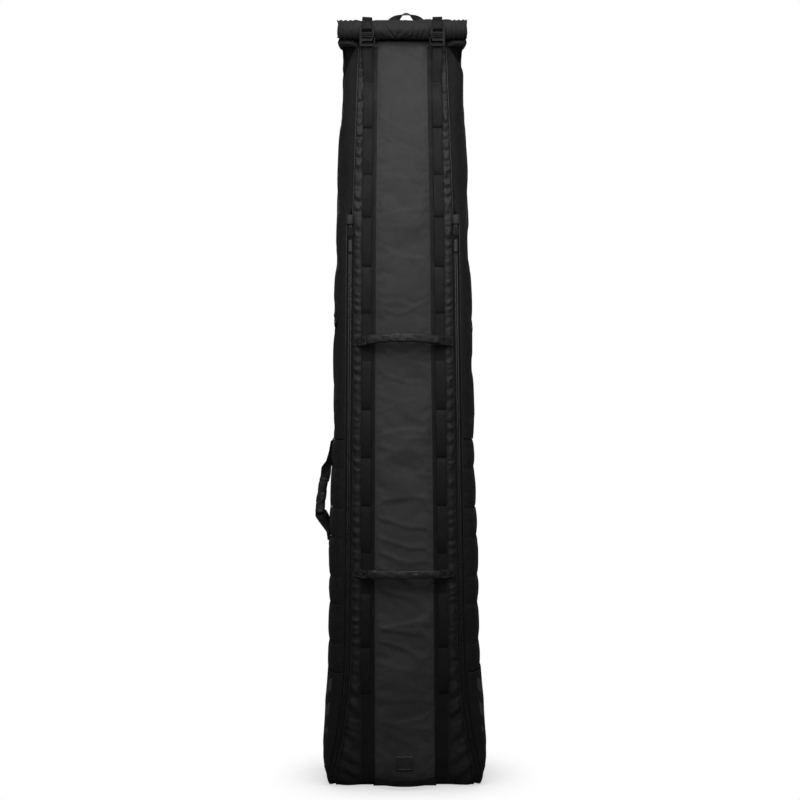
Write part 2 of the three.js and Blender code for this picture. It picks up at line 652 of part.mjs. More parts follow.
// ---------------------------------------------------------------- top haul handle, behind the roll
// A wide pad on the sloping back, and an arch of webbing that twists as it rises.
function addTopHandle() {
  const pad = sheet([1742, 1770, 1798], [-84, 0, 84], (x, z, face) =>
    V(x, backY(z) + (face ? 0.8 : 4.2), z));
  add("top_handle_anchor", pad, MAT.fabric);
  const half = 10; // path steps from an end to the middle
  const path = steps(-1, 1, 2 * half).map((u) => {
    const a = Math.abs(u);
    const z = 1800 + 203 * Math.pow(1 - Math.pow(a, 2.6), 0.62);
    return V(70 * Math.sign(u) * Math.pow(a, 0.9), 58 - 14 * (1 - a * a), z);
  });
  const widthDir = (i) => {
    const u = Math.abs(i / half - 1);
    return V(Math.sign(i - half) * 0.9 * u, 1.2 - 0.9 * u, 0.0001).normalize();
  };
  add("top_handle", ribbon(path, widthDir, 11.5, 3.2), MAT.webbing);
}

// ---------------------------------------------------------------- bottom haul handle, low on the front
function addBottomHandle() {
  add("bottom_handle_anchor", box(-80, 80, -122, -95.6, 0.4, 2.6), MAT.webbing);
  const path = steps(-1, 1, 14).map((u) =>
    V(74 * u, -124 - 26 * (1 - Math.pow(Math.abs(u), 2.2)), 14));
  add("bottom_handle", ribbon(path, () => V(0, 0, 1), 9, 3), MAT.webbing);
}

// ---------------------------------------------------------------- rolled collar and its stiffener
const ROLL_R = 26; // outside radius
const ROLL_Y = -62;
const ROLL_Z = 1931;
const ROLL_HALF = 167; // half the roll's length
const ROLL_FOOT = 1907.5; // lower edge of the collar
const ROLL_TURNS = 1.9;
const ROLL_PITCH = 7; // radius lost per turn
const COLLAR_HALF_T = 2.5;

// Middle line of the collar in section, as [y, z]: a short riser, then an inward spiral.
function rollSpiral() {
  const segments = 46;
  const startR = ROLL_R - COLLAR_HALF_T;
  const line = [[ROLL_Y + startR, ROLL_FOOT], [ROLL_Y + startR, ROLL_Z - 8]];
  for (let i = 0; i <= segments; i++) {
    const angle = (i / segments) * ROLL_TURNS * 2 * Math.PI;
    const radius = startR - (ROLL_PITCH * angle) / (2 * Math.PI);
    line.push([ROLL_Y + radius * Math.cos(angle), ROLL_Z + radius * Math.sin(angle)]);
  }
  return line;
}

function addRoll() {
  const line = rollSpiral();
  const offsetLine = (off) => line.map(([y, z], i) => {
    const [ya, za] = line[Math.max(0, i - 1)];
    const [yb, zb] = line[Math.min(line.length - 1, i + 1)];
    const length = Math.hypot(yb - ya, zb - za);
    return [y + (off * (zb - za)) / length, z - (off * (yb - ya)) / length];
  });
  const section = [...offsetLine(COLLAR_HALF_T), ...offsetLine(-COLLAR_HALF_T).reverse()];
  add("roll_collar", alongX(section, -ROLL_HALF, ROLL_HALF), MAT.fabric);
  const battenHalf = ROLL_HALF - 6;
  const batten = box(-battenHalf, battenHalf, ROLL_Y - 1, ROLL_Y + 1.4, ROLL_Z - 5.5, ROLL_Z + 5.5);
  add("roll_batten", batten, MAT.plastic);
}

// ---------------------------------------------------------------- roll straps and hooks
const HOOK_X = 90;
const HOOK_TOP = 1934.5;
const HOOK_FRONT = -97.5;
const HOOK_BACK = -93.5;
// strap over the roll, back to front: [y, z]
const STRAP_PATH = [
  [-34.4, 1912], [-34.4, 1936], [-38.5, 1950], [-48, 1962], [-60, 1967],
  [-74, 1964], [-86, 1955], [-92, 1944], [-93.5, 1935.4],
];
// eight-sided frame: [x outwards, z] from the middle of its top edge
const HOOK_FRAME = [
  [-12, 0], [-18, -8], [-18, -20], [-14.5, -39], [14, -39], [18, -20], [18, -8], [12, 0],
];

function rollStrap(sign) {
  const points = STRAP_PATH.map(([y, z]) => V(sign * HOOK_X, y, z));
  const path = new THREE.CatmullRomCurve3(points).getPoints(20);
  return ribbon(path, () => V(1, 0, 0), 12.5, 2);
}

// A frame with two strap slots above and an open hook below.
function rollHook(sign) {
  // x from the hook's middle, positive outwards; z from its top; extra deepens a cutter
  const block = (x0, x1, z0, z1, extra = 0) => sideBox(sign, HOOK_X + x0, HOOK_X + x1,
    HOOK_FRONT - extra, HOOK_BACK + extra, HOOK_TOP + z0, HOOK_TOP + z1);
  const outline = placed(HOOK_FRAME, sign * HOOK_X, HOOK_TOP, sign);
  const frame = cut(
    solid(alongY(outline, HOOK_FRONT, HOOK_BACK)),
    block(-11.5, 11.5, -14.5, -11.5, 1),
    block(-11.5, 11.5, -22, -19, 1),
    block(-12, 12, -45, -26, 1),
  );
  return geometryOf(join(
    frame,
    block(-17, 16, -49, -44), // lower bar
    block(12.5, 16, -49, -35), // outer post, joining the bar to the frame
    block(-20.5, -17, -49, -30), // inner upstand, clear of the frame
  ));
}

function addRollStrap(side, sign) {
  add(side + "_roll_strap", rollStrap(sign), MAT.webbing);
  add(side + "_hook", rollHook(sign), MAT.hook);
}

// ---------------------------------------------------------------- inside
// A strap across the back board, with a slotted and notched buckle in front of it.
function addInnerStrap(where, z) {
  add("inner_strap_" + where, box(-138, 138, 90.8, 92.8, z - 19, z + 19), MAT.webbing);
  const slots = [-1, 1].map((sign) => sideBox(sign, 24, 28, 78, 91, z - 19.5, z + 19.5));
  const notches = [-1, 1].map((sign) => {
    const [low, high] = mirrored(sign, 16, 24);
    return box(-10, 14, 78, 91, z + low, z + high);
  });
  const buckle = cut(solid(box(-32, 32, 79, 90, z - 23, z + 23)), ...slots, ...notches);
  add("inner_buckle_" + where, geometryOf(buckle), MAT.plastic);
}

// ---------------------------------------------------------------- assembly
const onBothSides = (addPiece) => SIDES.forEach(([side, sign]) => addPiece(side, sign));

addFront();
addBackPanel();
onBothSides(addSidePanels);
addBaseTray();
onBothSides(addWheel);
addZipTapes();
onBothSides(addWebbing);
HANDLES.forEach(addCarryHandle);
addBadge();
onBothSides(addZipSlider);
addSideHandle();
addSideRing();
addTopHandle();
addBottomHandle();
addRoll();
onBothSides(addRollStrap);
add("back_board", box(-112, 112, 93, 96, 130, 1470), MAT.plastic);
addInnerStrap("upper", 1250);
addInnerStrap("lower", 600);

export default bag;
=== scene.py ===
"""Ski bag: its cloth, webbing, zips, handles and hooks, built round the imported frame.

The bag stands on the floor with +Z up; its front faces -Y and its left side is at -X.
Shapes are worked out in millimetres and become metres when a mesh is made.
"""
import json
import math

import bmesh
import bpy
import numpy as np
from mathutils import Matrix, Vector

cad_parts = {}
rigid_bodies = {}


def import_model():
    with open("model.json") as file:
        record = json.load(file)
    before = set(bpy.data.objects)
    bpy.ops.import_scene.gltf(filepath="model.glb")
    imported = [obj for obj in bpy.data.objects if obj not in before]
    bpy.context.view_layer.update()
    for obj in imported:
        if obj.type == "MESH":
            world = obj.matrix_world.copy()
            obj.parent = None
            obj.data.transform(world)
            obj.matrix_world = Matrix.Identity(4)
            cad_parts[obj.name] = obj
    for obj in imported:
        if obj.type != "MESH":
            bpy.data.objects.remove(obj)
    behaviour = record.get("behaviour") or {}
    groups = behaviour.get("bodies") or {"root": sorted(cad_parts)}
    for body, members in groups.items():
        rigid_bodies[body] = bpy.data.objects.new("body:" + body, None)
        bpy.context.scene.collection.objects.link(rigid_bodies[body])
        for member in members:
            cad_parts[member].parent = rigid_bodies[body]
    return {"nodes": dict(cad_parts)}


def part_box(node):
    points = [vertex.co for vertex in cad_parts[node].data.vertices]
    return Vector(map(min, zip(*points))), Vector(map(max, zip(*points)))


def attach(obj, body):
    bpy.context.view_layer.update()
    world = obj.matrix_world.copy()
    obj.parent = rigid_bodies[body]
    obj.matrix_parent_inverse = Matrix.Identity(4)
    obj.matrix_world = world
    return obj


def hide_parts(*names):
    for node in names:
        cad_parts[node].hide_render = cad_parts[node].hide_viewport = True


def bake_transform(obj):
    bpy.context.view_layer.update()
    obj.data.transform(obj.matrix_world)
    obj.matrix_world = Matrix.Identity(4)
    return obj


for old in list(bpy.data.objects):
    bpy.data.objects.remove(old, do_unlink=True)

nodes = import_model()["nodes"]
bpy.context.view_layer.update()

MM = 0.001
SIDES = (("left", -1), ("right", 1))
ALONG_X = (1.0, 0, 0)
ALONG_Y = (0, 1.0, 0)
ALONG_Z = (0, 0, 1.0)
FORWARD = (0, -1.0, 0)


# ------------------------------------------------------------------ body profiles
PROFILE_Z = np.arange(-20.0, 1930.0, 1.0)


def profile(rows, window):
    """A function of height through (z, value) rows, blurred over about +-window."""
    heights, values = zip(*rows)
    kernel = np.hanning(2 * window + 3)
    kernel /= kernel.sum()
    padded = np.pad(np.interp(PROFILE_Z, heights, values), window + 1, mode="edge")
    smooth = np.convolve(padded, kernel, mode="valid")
    return lambda z: np.interp(z, PROFILE_Z, smooth)


FLAP_TOP = 1433         # height where the opening flap meets the yoke
SHELL_TOP = 1893        # height where the neck starts
FACE_GAP = 8.3          # from the zip's centre line to the cloth edge on either side
WEB_WIDTH = 36.0        # the backing webbing on the front
LOOP_WIDTH = 25.0       # the looped webbing over it
TACK_Z = (1788, 1673, 1551, 1442, 1316, 1199, 1076, 953, 832, 710, 592, 487, 354, 240)
RIB_Z = (879, 805, 703, 628, 528, 459, 360, 287)
UPPER_HANDLE_Z, LOWER_HANDLE_Z = 1128.0, 541.0
PATCH_Z = 58.3

# every table below: height, then the distance from the bag's middle
half_width = profile([
    (0, 190), (12, 199), (30, 206), (60, 212), (108, 211), (187, 207), (240, 203), (287, 199),
    (319, 197), (451, 194), (583, 194), (715, 189), (847, 184), (979, 182), (1111, 179.5),
    (1243, 177), (1375, 172), (1507, 169), (1639, 165), (1745, 162), (1824, 160), (1904, 160)], 12)
front_edge_y = profile([
    (0, -100), (12, -107), (30, -111), (60, -113), (367, -112), (1433, -96), (1600, -88),
    (1740, -77), (1824, -66), (1887, -52), (1904, -46.5)], 10)
# how far the front's middle stands proud of its edges
crown = profile([(0, 1), (60, 5), (367, 12), (900, 14), (1433, 12), (1700, 8), (1904, 2)], 20)
back_y = profile([
    (0, 90), (30, 98), (60, 100), (1500, 100), (1600, 95), (1740, 74), (1824, 42), (1870, 10),
    (1887, -6), (1904, -22)], 8)
ZIP_CURVE = [(8, 191.5), (36, 187), (61, 181.5), (112, 170.5), (160, 161.5), (214, 154),
             (290, 147.5), (367, 144.5)]
zip_x = profile([(0, 192), *ZIP_CURVE, (1433, 134)], 14)
yoke_x = profile([(1433, 128), (1846, 114), (1904, 112)], 10)
web_centre_x = profile([(0, 99), (469, 98), (979, 95), (1433, 92), (1846, 87), (1904, 87)], 20)
seam_x = profile([(0, 184), *((z, x - FACE_GAP) for z, x in ZIP_CURVE), (1425, 126.2),
                  (1445, 127.6), (1846, 114), (1904, 112)], 8)
side_x = profile([(0, 200.3), *((z, x + FACE_GAP) for z, x in ZIP_CURVE), (1426, 142.6),
                  (1436, 141.5), (1470, 127.9), (1846, 114.6), (1904, 112.6)], 6)


def web_outer_x(z):
    return web_centre_x(z) + LOOP_WIDTH / 2


def back_seam_x(z):
    return half_width(z) - 24


def front_y(x, z):
    """The crowned face of the front."""
    reach = np.where(z > FLAP_TOP, yoke_x(z) + 6, zip_x(z))
    part = np.minimum(1, np.abs(x) / reach)
    return front_edge_y(z) - crown(z) * (1 - part * part)


# ------------------------------------------------------------------ noise and easing
def lattice(ix, iy, iz, seed):
    """A repeatable value from -1 to 1 for each whole-numbered point."""
    bits = (ix.astype(np.int64) * 374761393 + iy.astype(np.int64) * 668265263
            + iz.astype(np.int64) * 2147483647 + seed * 974634777) & 0xFFFFFFFF
    bits = ((bits ^ (bits >> 13)) * 1274126177) & 0xFFFFFFFF
    bits = ((bits ^ (bits >> 16)) * 2246822519) & 0xFFFFFFFF
    return ((bits ^ (bits >> 15)) & 0xFFFFFF) / float(0xFFFFFF) * 2 - 1


@np.errstate(over="ignore")
def noise(x, y, z, seed):
    """Smooth noise from -1 to 1."""
    x, y, z = np.broadcast_arrays(*(np.asarray(value, float) for value in (x, y, z)))
    ix, iy, iz = np.floor(x), np.floor(y), np.floor(z)
    fx, fy, fz = (f * f * f * (f * (f * 6 - 15) + 10) for f in (x - ix, y - iy, z - iz))
    total = 0
    for dx in (0, 1):
        for dy in (0, 1):
            for dz in (0, 1):
                weight = (fx if dx else 1 - fx) * (fy if dy else 1 - fy) * (fz if dz else 1 - fz)
                total = total + weight * lattice(ix + dx, iy + dy, iz + dz, seed)
    return total


def ridge(x, y, z, seed, sharp):
    """Soft creases: 1 along lines, falling to 0 between them."""
    return np.power(np.clip(1 - np.abs(noise(x, y, z, seed)) * 1.6, 0, 1), sharp)


def ease(start, end, x):
    """0 at start, 1 at end, smooth between; start may be the larger."""
    t = np.clip((x - start) / (end - start), 0, 1)
    return t * t * (3 - 2 * t)


def bell(x, width):
    return np.exp(-(x / width) ** 2)


def arch(t, power):
    """Rises from 0 at t = 0 and returns to 0 at t = 1."""
    return np.sin(math.pi * t) ** power


def saw(phase, rise):
    """Repeating teeth from 0 to 1 that climb over the first part, rise, of each period."""
    part = phase - np.floor(phase)
    return np.where(part < rise, part / rise, (1 - part) / (1 - rise))


# ------------------------------------------------------------------ points and paths
def points(x, y, z):
    return np.stack(np.broadcast_arrays(x, y, z), -1)


def unit(v):
    return v / np.maximum(np.linalg.norm(v, axis=-1, keepdims=True), 1e-12)


def along(path, axis=0):
    """Length run from the first point, along one axis of a path or grid."""
    run = np.cumsum(np.linalg.norm(np.diff(path, axis=axis), axis=-1), axis=axis)
    return np.concatenate([np.zeros_like(np.take(run, [0], axis=axis)), run], axis=axis)


def read_at(where, run, rows):
    return np.stack([np.interp(where, run, column) for column in rows.T], -1)


def resample(path, count):
    path = np.asarray(path, float)
    run = along(path)
    return read_at(np.linspace(0, run[-1], count), run, path)


def catmull(stations, count):
    """A smooth curve through the stations, in evenly spaced points."""
    stations = np.asarray(stations, float)
    p = np.vstack([2 * stations[0] - stations[1], stations, 2 * stations[-1] - stations[-2]])
    curve = []
    for i in range(1, len(p) - 2):
        before, here, after, beyond = p[i - 1:i + 3]
        for t in np.linspace(0, 1, 24, endpoint=False):
            curve.append(0.5 * (2 * here + (after - before) * t
                                + (2 * before - 5 * here + 4 * after - beyond) * t * t
                                + (3 * here - before - 3 * after + beyond) * t ** 3))
    curve.append(p[-2])
    return resample(np.array(curve), count)


def normals(surface):
    n = np.cross(np.gradient(surface, axis=1), np.gradient(surface, axis=0))
    return n / np.maximum(np.linalg.norm(n, axis=2, keepdims=True), 1e-9)


def forward_normals(surface, columns=slice(None)):
    """Normals turned so that the given columns face the front."""
    n = normals(surface)
    return -n if n[:, columns, 1].mean() > 0 else n


# ------------------------------------------------------------------ mesh builders
def foot_taper(verts):
    """The front's lower corners draw in towards the floor."""
    verts = np.array(verts, float)
    x, y, z = verts.T
    low = np.clip((44 - z) / 42, 0, 1) ** 1.7
    corner = (np.clip((np.abs(x) - 120) / 80, 0, 1) ** 2 * np.clip((-40 - y) / 30, 0, 1)
              * (np.abs(x) < 230))
    verts[:, 0] -= np.sign(x) * 12.5 * low * corner
    return verts


def mesh_object(name, verts, faces, materials, uvs=None, smooth=True):
    mesh = bpy.data.meshes.new(name)
    mesh.from_pydata((foot_taper(verts) * MM).tolist(), [],
                     [tuple(int(i) for i in face) for face in faces])
    for material in materials if isinstance(materials, (list, tuple)) else [materials]:
        mesh.materials.append(material)
    if uvs is not None:
        layer = mesh.uv_layers.new(name="UVMap")
        corners = np.zeros(len(mesh.loops), np.int32)
        mesh.loops.foreach_get("vertex_index", corners)
        uvs = (np.asarray(uvs, float)[corners] * MM).astype(np.float32)
        layer.data.foreach_set("uv", uvs.ravel())
    if smooth:
        mesh.polygons.foreach_set("use_smooth", np.ones(len(mesh.polygons), bool))
    mesh.update()
    ob = bpy.data.objects.new(name, mesh)
    bpy.context.scene.collection.objects.link(ob)
    return ob


def clean_mesh(ob, merge=None):
    """Turns all faces outward, after merging points closer than merge metres."""
    bm = bmesh.new()
    bm.from_mesh(ob.data)
    if merge:
        bmesh.ops.remove_doubles(bm, verts=bm.verts, dist=merge)
    bmesh.ops.recalc_face_normals(bm, faces=bm.faces)
    bm.to_mesh(ob.data)
    bm.free()
    ob.data.update()


def grid_uv(surface):
    u = along(surface, 1)
    v = along(surface, 0).mean(axis=1, keepdims=True)
    return np.stack(np.broadcast_arrays(u, v), -1).reshape(-1, 2)


def ring_uv(around, lengthwise):
    return np.stack(np.broadcast_arrays(around[None, :], lengthwise[:, None]), -1).reshape(-1, 2)


def grid_faces(rows, columns, flip=False, wrap=False):
    j, i = np.meshgrid(np.arange(rows - 1), np.arange(columns if wrap else columns - 1),
                       indexing="ij")
    after = (i + 1) % columns
    a, b = j * columns + i, j * columns + after
    c, d = (j + 1) * columns + after, (j + 1) * columns + i
    return np.stack([a, d, c, b] if flip else [a, b, c, d], -1).reshape(-1, 4)


def tube_faces(rows, columns):
    """Closed tube with a cap at each end."""
    faces = grid_faces(rows, columns, wrap=True).tolist()
    faces.append(range(columns - 1, -1, -1))
    faces.append(range((rows - 1) * columns, rows * columns))
    return faces


def sheet(name, surface, materials, flip=False):
    """One open sheet from a (rows, columns, 3) grid."""
    rows, columns = surface.shape[:2]
    return mesh_object(name, surface.reshape(-1, 3), grid_faces(rows, columns, flip), materials,
                       grid_uv(surface))


def slab(name, surface, outward, thickness, material, uv=None):
    """A closed slab: the surface, a second skin behind it, and the rim."""
    rows, columns = surface.shape[:2]
    inner = rows * columns
    verts = np.concatenate([surface.reshape(-1, 3),
                            (surface - outward * thickness).reshape(-1, 3)])
    rim = []
    for a in range(columns - 1):
        b = (rows - 1) * columns + a
        rim.append((a + 1, a, inner + a, inner + a + 1))
        rim.append((b, b + 1, inner + b + 1, inner + b))
    for a in range(0, (rows - 1) * columns, columns):
        b = a + columns - 1
        rim.append((a, a + columns, inner + a + columns, inner + a))
        rim.append((b + columns, b, inner + b, inner + b + columns))
    faces = np.concatenate([grid_faces(rows, columns), grid_faces(rows, columns, True) + inner,
                            np.array(rim)])
    ob = mesh_object(name, verts, faces, material,
                     None if uv is None else np.concatenate([uv, uv]))
    clean_mesh(ob)
    return ob


def sweep(name, path, across, section, material, displace=None, scale=None):
    """A closed section of (across, outward) points carried along a path.

    displace(part of length, angle, length) moves the surface out; scale has a row per path point.
    """
    path = np.asarray(path, float)
    across = np.broadcast_to(across, path.shape)
    count, sides = len(path), len(section)
    tangent = unit(np.gradient(path, axis=0))
    across = unit(across - (across * tangent).sum(-1, keepdims=True) * tangent)
    outward = unit(np.cross(tangent, across))
    run = along(path)
    scale = np.ones((count, 2)) if scale is None else scale
    local = section[None, :, :] * scale[:, None, :]
    if displace is not None:
        angle = np.arctan2(section[:, 1], section[:, 0])
        moved = displace(np.repeat((run / run[-1])[:, None], sides, 1),
                         np.repeat(angle[None, :], count, 0), run[-1])
        local = local + unit(local) * moved[..., None]
    verts = (path[:, None, :] + local[..., 0:1] * across[:, None, :]
             + local[..., 1:2] * outward[:, None, :])
    ob = mesh_object(name, verts.reshape(-1, 3), tube_faces(count, sides), material,
                     ring_uv(along(section), run))
    clean_mesh(ob)
    return ob


def web_section(width, thick, columns=8):
    """Flat webbing with rounded selvedges."""
    flat = np.linspace(-width / 2 + thick * 0.4, width / 2 - thick * 0.4, columns)
    top = [(x, thick / 2) for x in flat]
    bottom = [(x, -thick / 2) for x in flat[::-1]]
    shoulder, rise = width / 2 - thick * 0.1, thick * 0.3
    right = [(shoulder, rise), (width / 2, 0), (shoulder, -rise)]
    left = [(-shoulder, -rise), (-width / 2, 0), (-shoulder, rise)]
    return np.array(top + right + bottom + left)


def round_section(half_across, half_out, sides, squareness=2.0):
    """An ellipse at squareness 2, boxier above it."""
    angle = np.linspace(0, 2 * math.pi, sides, endpoint=False)

    def swell(wave):
        return np.sign(wave) * np.abs(wave) ** (2 / squareness)
    return np.stack([half_across * swell(np.cos(angle)), half_out * swell(np.sin(angle))], -1)


def join(name, parts):
    """Several objects become one."""
    for ob in bpy.context.selected_objects:
        ob.select_set(False)
    for ob in parts:
        ob.select_set(True)
    bpy.context.view_layer.objects.active = parts[0]
    bpy.ops.object.join()
    ob = bpy.context.view_layer.objects.active
    ob.name = name
    ob.data.name = name
    ob.select_set(False)
    return ob


# rings of one stitch: place along its length, part of the full radius
STITCH_RINGS = ((-0.5, 0.25), (-0.36, 0.85), (0, 1.0), (0.36, 0.85), (0.5, 0.25))


def stitches(name, seams, material, length=3.2, gap=1.6, radius=0.42):
    """Thread lying on a surface: each seam is (points, outward normals or one normal)."""
    sides = 6
    lift = 0.15
    angles = np.linspace(0, 2 * math.pi, sides, endpoint=False)
    stitch_faces = tube_faces(len(STITCH_RINGS), sides)
    verts, faces = [], []
    for path, outward in seams:
        outward = np.broadcast_to(np.asarray(outward, float), path.shape)
        run = along(path)
        for middle in np.arange(length / 2 + 0.5, run[-1] - length / 2, length + gap):
            start = read_at(middle - length / 2, run, path)
            end = read_at(middle + length / 2, run, path)
            up = unit(read_at(middle, run, outward))
            forward = unit(end - start)
            sideways = unit(np.cross(forward, up))
            centre = (start + end) / 2 + up * lift
            base = len(verts)
            for place, size in STITCH_RINGS:
                ring_centre = centre + forward * place * length - up * abs(place) * radius * 1.05
                for angle in angles:
                    spoke = sideways * math.cos(angle) + up * math.sin(angle)
                    verts.append(ring_centre + spoke * radius * size)
            faces += [[base + i for i in face] for face in stitch_faces]
    ob = mesh_object(name, verts, faces, material)
    clean_mesh(ob)
    return ob


def add_modifier(ob, kind, **settings):
    modifier = ob.modifiers.new(kind.lower(), kind)
    for key, value in settings.items():
        setattr(modifier, key, value)


def subdivide(ob):
    add_modifier(ob, "SUBSURF", levels=1, render_levels=1)


def bevel(ob, width, segments, degrees):
    add_modifier(ob, "BEVEL", width=width, segments=segments, limit_method="ANGLE",
                 angle_limit=math.radians(degrees))


def line_cloth(ob):
    """Smooths a cloth sheet and backs it with the second material slot."""
    subdivide(ob)
    add_modifier(ob, "SOLIDIFY", thickness=0.002, offset=-1, material_offset=1,
                 material_offset_rim=0)


def cloth(ob, pinned, frames, pressure, shrink, cap, bend):
    """Settles a sheet with its pinned points held, and keeps the settled shape.

    No point moves more than cap millimetres.
    """
    mesh = ob.data
    rest = np.zeros(len(mesh.vertices) * 3, np.float32)
    mesh.vertices.foreach_get("co", rest)
    group = ob.vertex_groups.new(name="pin")
    group.add(np.nonzero(pinned.ravel())[0].tolist(), 1.0, "REPLACE")
    modifier = ob.modifiers.new("cloth", "CLOTH")
    settings = modifier.settings
    settings.quality = 4
    settings.mass = 0.25
    settings.tension_stiffness = settings.compression_stiffness = 20.0
    settings.shear_stiffness = 5
    settings.bending_stiffness = bend
    settings.tension_damping = settings.compression_damping = settings.shear_damping = 8
    settings.air_damping = 4
    settings.vertex_group_mass = "pin"
    settings.pin_stiffness = 1
    settings.use_pressure = True
    settings.uniform_pressure_force = pressure
    settings.shrink_min = settings.shrink_max = shrink
    settings.effector_weights.gravity = 0
    modifier.collision_settings.use_collision = False
    scene = bpy.context.scene
    for frame in range(1, frames + 1):
        scene.frame_set(frame)
    settled = np.zeros_like(rest)
    evaluated = ob.evaluated_get(bpy.context.evaluated_depsgraph_get())
    evaluated.data.vertices.foreach_get("co", settled)
    rest = rest.reshape(-1, 3).astype(float)
    move = settled.reshape(-1, 3).astype(float) - rest
    length = np.linalg.norm(move, axis=1, keepdims=True)
    limit = np.asarray(cap).reshape(-1, 1) * MM
    capped = move / np.maximum(length, 1e-9) * limit * np.tanh(length / limit)
    move = np.where(length > 1e-9, capped, 0)
    move[~np.isfinite(move).all(axis=1)] = 0
    ob.modifiers.remove(modifier)
    ob.vertex_groups.remove(group)
    mesh.vertices.foreach_set("co", (rest + move).astype(np.float32).ravel())
    mesh.update()
    scene.frame_set(1)


def fit(ob, slot, body, *replaced):
    """Hangs a piece on the body that carries it, if one is given, and hides the nodes it stands
    for; slot is not used.
    """
    if body:
        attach(ob, body)
    if replaced:
        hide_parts(*replaced)


def fit_front(ob, slot, *replaced):
    """Hides the nodes the piece stands for and bakes its placement into its mesh; it is hung on no
    body.
    """
    fit(ob, slot, None, *replaced)
    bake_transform(ob)


# ------------------------------------------------------------------ shader nodes
class Graph:
    """Short calls that add nodes to one shader tree."""

    def __init__(self, tree):
        self.tree = tree

    def node(self, kind, **values):
        """A node with its inputs or properties set by name."""
        node = self.tree.nodes.new("ShaderNode" + kind)
        for key, value in values.items():
            if key in node.inputs:
                node.inputs[key].default_value = value
            else:
                setattr(node, key, value)
        return node

    def feed(self, socket, value):
        """Links a socket, or sets a plain value."""
        if isinstance(value, bpy.types.NodeSocket):
            self.tree.links.new(value, socket)
        else:
            socket.default_value = value

    def place(self):
        return self.node("TexCoord").outputs["Object"]

    def uv(self):
        return self.node("UVMap", uv_map="UVMap").outputs[0]

    def split(self, vector):
        node = self.node("SeparateXYZ")
        self.feed(node.inputs[0], vector)
        return node.outputs

    def noise(self, vector, output="Fac", **values):
        node = self.node("TexNoise", **values)
        self.feed(node.inputs["Vector"], vector)
        return node.outputs[output]

    def math(self, operation, first, second=None, clamp=False):
        node = self.node("Math", operation=operation, use_clamp=clamp)
        self.feed(node.inputs[0], first)
        if second is not None:
            self.feed(node.inputs[1], second)
        return node.outputs[0]

    def ramp(self, value, span, to=(0, 1)):
        """Maps the span of a value to another range."""
        node = self.node("MapRange", **{"From Min": span[0], "From Max": span[1],
                                        "To Min": to[0], "To Max": to[1]})
        self.feed(node.inputs["Value"], value)
        return node.outputs["Result"]

    def mix(self, factor, first, second):
        node = self.node("Mix", data_type="RGBA")
        for index, value in ((0, factor), (6, first), (7, second)):
            self.feed(node.inputs[index], value)
        return node.outputs[2]

    def tint(self, factor, colour, dark, light):
        """The colour, from dark times to light times its strength."""
        return self.mix(factor, *((*(c * level for c in colour), 1) for level in (dark, light)))

    def bump(self, height, distance, strength, under=None):
        node = self.node("Bump", Distance=distance, Strength=strength)
        self.feed(node.inputs["Height"], height)
        if under is not None:
            self.feed(node.inputs["Normal"], under)
        return node.outputs["Normal"]

    def weave(self, vector, period):
        """Over-and-under threads of one period, in metres of UV."""
        u, v, _ = self.split(vector)
        across = self.math("SINE", self.math("MULTIPLY", u, 2 * math.pi / period))
        down = self.math("SINE", self.math("MULTIPLY", v, 2 * math.pi / period))
        half = self.math("MULTIPLY", self.math("MULTIPLY", across, down), 0.5)
        return self.math("ADD", half, 0.5)


class Surface(Graph):
    """The tree of one material, with its shader's inputs."""

    def __init__(self, material):
        material.use_nodes = True
        super().__init__(material.node_tree)
        self.material = material
        self.shader = self.tree.nodes["Principled BSDF"]

    def set(self, **values):
        """Sets or links shader inputs; underscores in a key stand for spaces."""
        for key, value in values.items():
            self.feed(self.shader.inputs[key.replace("_", " ")], value)


def new_surface(name):
    return Surface(bpy.data.materials.new(name))


MID_NOISE = (0.3, 0.7)      # the part of a noise's range that is spread out


def around(value, by):
    return value - by, value + by


def coated(name, colour, roughness, crinkle, specular=0.5):
    """Coated cloth with the grain showing and creases left by handling."""
    g = new_surface(name)
    place = g.place()
    uv = g.uv()
    broad = g.noise(place, Scale=7.0, Detail=4.0, Roughness=0.55)
    middle = g.noise(place, Scale=60.0, Detail=5.0, Roughness=0.6)
    g.set(Base_Color=g.tint(g.ramp(broad, MID_NOISE), colour, dark=0.86, light=1.14))
    g.set(Roughness=g.math("ADD", g.ramp(broad, MID_NOISE, to=around(roughness, 0.05)),
                           g.ramp(middle, MID_NOISE, to=around(0, 0.05))))
    g.set(Specular_IOR_Level=specular)
    threads = g.weave(uv, period=0.0013)
    grain = g.noise(place, Scale=900.0, Detail=2.0)
    height = g.math("ADD", g.math("MULTIPLY", threads, 0.6), g.math("MULTIPLY", grain, 0.6))
    grained = g.bump(height, distance=0.00012, strength=0.35)
    # a warped net of fine creases
    warp = g.noise(place, output="Color", Scale=25.0, Detail=3.0)
    warped = g.node("VectorMath", operation="MULTIPLY_ADD")
    for socket, value in zip(warped.inputs, (warp, (0.02, 0.02, 0.02), place)):
        g.feed(socket, value)
    net = g.node("TexVoronoi", feature="DISTANCE_TO_EDGE", Scale=38.0)
    g.feed(net.inputs["Vector"], warped.outputs[0])
    crease = g.ramp(net.outputs["Distance"], (0.0, 0.12))
    creased = g.bump(crease, distance=0.0009, strength=crinkle * 0.55, under=grained)
    # broad folds, stretched upright
    upright = g.node("Mapping", Scale=(1.0, 1.0, 0.55))
    g.feed(upright.inputs["Vector"], place)
    fold = g.noise(upright.outputs["Vector"], Scale=32.0, Detail=3.0, Distortion=1.6)
    g.set(Normal=g.bump(fold, distance=0.0035, strength=crinkle * 0.5, under=creased))
    return g.material


